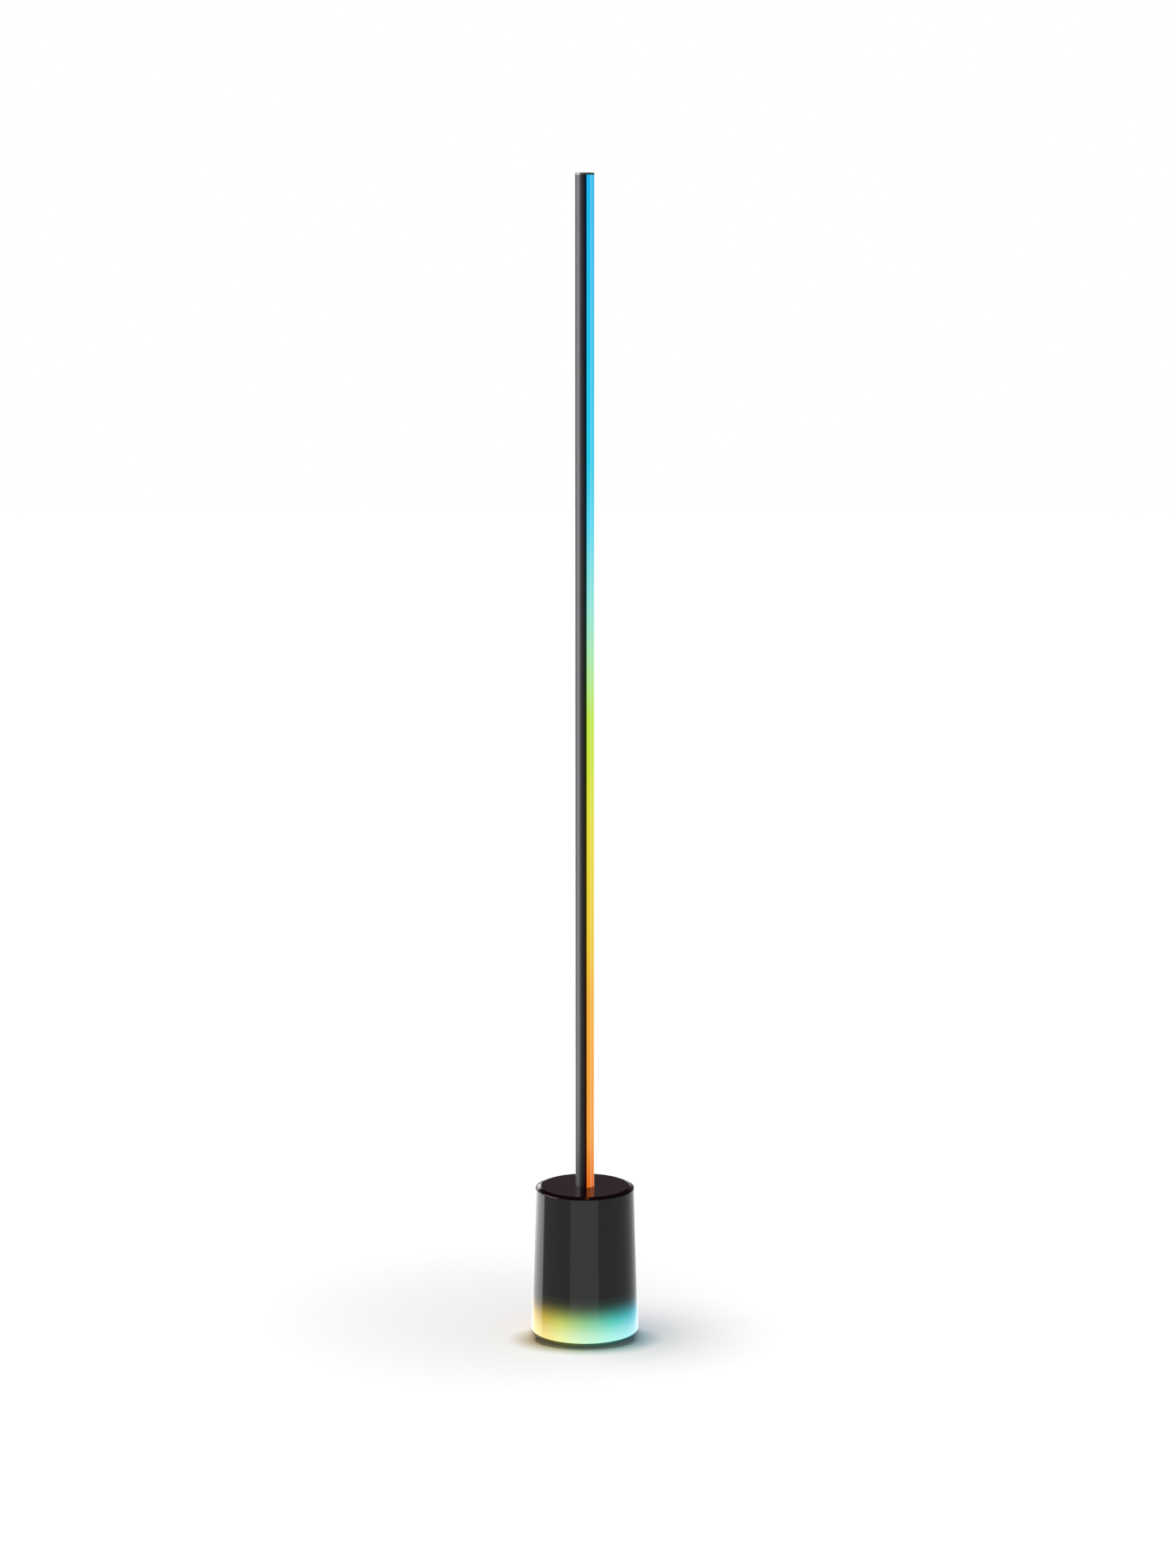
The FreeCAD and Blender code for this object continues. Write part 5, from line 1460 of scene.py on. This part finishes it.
# %% World
SOFT_LIGHT = 0.70
CARD_DARK = 0.35
CARD_FRONT = 0.43
CARD_LEFT = 1.90
CARD_RIGHT = 0.80
CARD_ABOVE = 0.10
CARD_LID = 0.01
LID_TINT = (1.0, 0.84, 0.95)
LOW_END = (0.10, 0.20)
LID_START = (0.32, 0.50)
FRONT_START = (-34.0, -32.0)
FRONT_END = (29.5, 31.5)
LEFT_END = (-109.5, -107.0)
LEFT_LOW_END = (-0.24, -0.14)
LEFT_LOW_BRIGHT = (-0.31, -0.24)
LEFT_LOW_WEAK = 0.55
LEFT_LEVEL_START = (0.00, 0.05)
LEFT_LEVEL_END = (0.28, 0.36)
LEFT_LEVEL_TURN = (-177.0, -171.0)
RIGHT_RISE = (86.0, 172.0)
RIGHT_CURVE = 1.4
RIGHT_END = (-0.12, -0.06)


def make_world():
    """Even soft light, white for the camera, and cards by direction for mirror rays."""
    world = bpy.data.worlds.new("studio")
    bpy.context.scene.world = world
    world.use_nodes = True
    recipe = Recipe(world.node_tree)
    recipe.tree.nodes.remove(recipe.tree.nodes["Background"])
    x, y, z = recipe.parts(recipe.node("ShaderNodeTexCoord"))
    turn = recipe.maths("ARCTAN2", x, y * -1.0) * (180 / math.pi)
    low = 1.0 - recipe.fade(z, *LOW_END)
    under_lid = 1.0 - recipe.fade(z, *LID_START)
    front = recipe.fade(turn, *FRONT_START) * (1.0 - recipe.fade(turn, *FRONT_END)) * CARD_FRONT
    bright = recipe.fade(z, *LEFT_LOW_BRIGHT) * (1.0 - LEFT_LOW_WEAK) + LEFT_LOW_WEAK
    below = (1.0 - recipe.fade(z, *LEFT_LOW_END)) * bright
    level = recipe.fade(z, *LEFT_LEVEL_START) * (1.0 - recipe.fade(z, *LEFT_LEVEL_END))
    level = level * recipe.fade(turn, *LEFT_LEVEL_TURN)
    left = (1.0 - recipe.fade(turn, *LEFT_END)) * (below + level)
    right = recipe.fade(turn, *RIGHT_RISE) ** RIGHT_CURVE * (1.0 - recipe.fade(z, *RIGHT_END))
    cards = ((front + CARD_DARK) * low + left * CARD_LEFT + right * CARD_RIGHT
             + under_lid * CARD_ABOVE + CARD_LID)
    path = recipe.node("ShaderNodeLightPath").socket.node.outputs
    seen = Value(recipe, path["Is Camera Ray"])
    mirrored = Value(recipe, path["Is Glossy Ray"])
    through = Value(recipe, path["Is Transmission Ray"])
    plain = recipe.node("ShaderNodeBackground", Color=WHITE, Strength=SOFT_LIGHT)
    tint = recipe.mix((under_lid - low) * (1.0 - left), WHITE, LID_TINT)
    card = recipe.node("ShaderNodeBackground", Color=tint, Strength=cards)
    white = recipe.node("ShaderNodeBackground", Color=WHITE, Strength=1.0)
    light = recipe.node("ShaderNodeMixShader", _0=mirrored, _1=plain, _2=card)
    light = recipe.node("ShaderNodeMixShader", _0=recipe.maths("MAXIMUM", seen, through),
                        _1=light, _2=white)
    recipe.feed(recipe.tree.nodes["World Output"].inputs["Surface"], light)


make_world()
print("soft light", SOFT_LIGHT, "and the left card", CARD_LEFT)

# %% [markdown]
# ## The lamps
#
# A sun with a wide disc gives the light a direction and the floor a faint shadow. A tall strip
# at the left, seen only in mirrors, draws the line down the pole. Neither is seen itself.

# %% Lamps
SUN_STRENGTH = 1.65
SUN_DISC = math.radians(50)
SUN_FROM = Vector((-0.50, 0.10, 1.0))
STRIP_PLACE = Vector((-0.34, -0.03, 0.945))
STRIP_WIDTH = 0.28
STRIP_HEIGHT = 1.61
STRIP_SPREAD = math.radians(90)
STRIP_STRENGTH = 5.4


def hang(name, kind, place, target):
    """Hang a lamp that looks at a target and isn't seen itself."""
    data = bpy.data.lights.new(name, kind)
    lamp = bpy.data.objects.new(name, data)
    lamp.location = place
    lamp.rotation_euler = (Vector(target) - Vector(place)).to_track_quat("-Z", "Y").to_euler()
    lamp.visible_camera = False
    bpy.context.scene.collection.objects.link(lamp)
    return lamp


def light_lamps():
    """Hang the sun and the mirrored strip."""
    sun = hang("sun", "SUN", SUN_FROM * 3, (0, 0, 0))
    sun.data.energy = SUN_STRENGTH
    sun.data.angle = SUN_DISC
    sun.visible_glossy = False
    strip = hang("left_strip", "AREA", STRIP_PLACE, (0, 0, STRIP_PLACE.z))
    strip.data.shape = "RECTANGLE"
    strip.data.size = STRIP_WIDTH
    strip.data.size_y = STRIP_HEIGHT
    strip.data.spread = STRIP_SPREAD
    strip.data.energy = STRIP_STRENGTH * math.pi * STRIP_WIDTH * STRIP_HEIGHT
    strip.visible_diffuse = False


light_lamps()
print(len(bpy.data.lights), "lamps")

# %% [markdown]
# ## Close
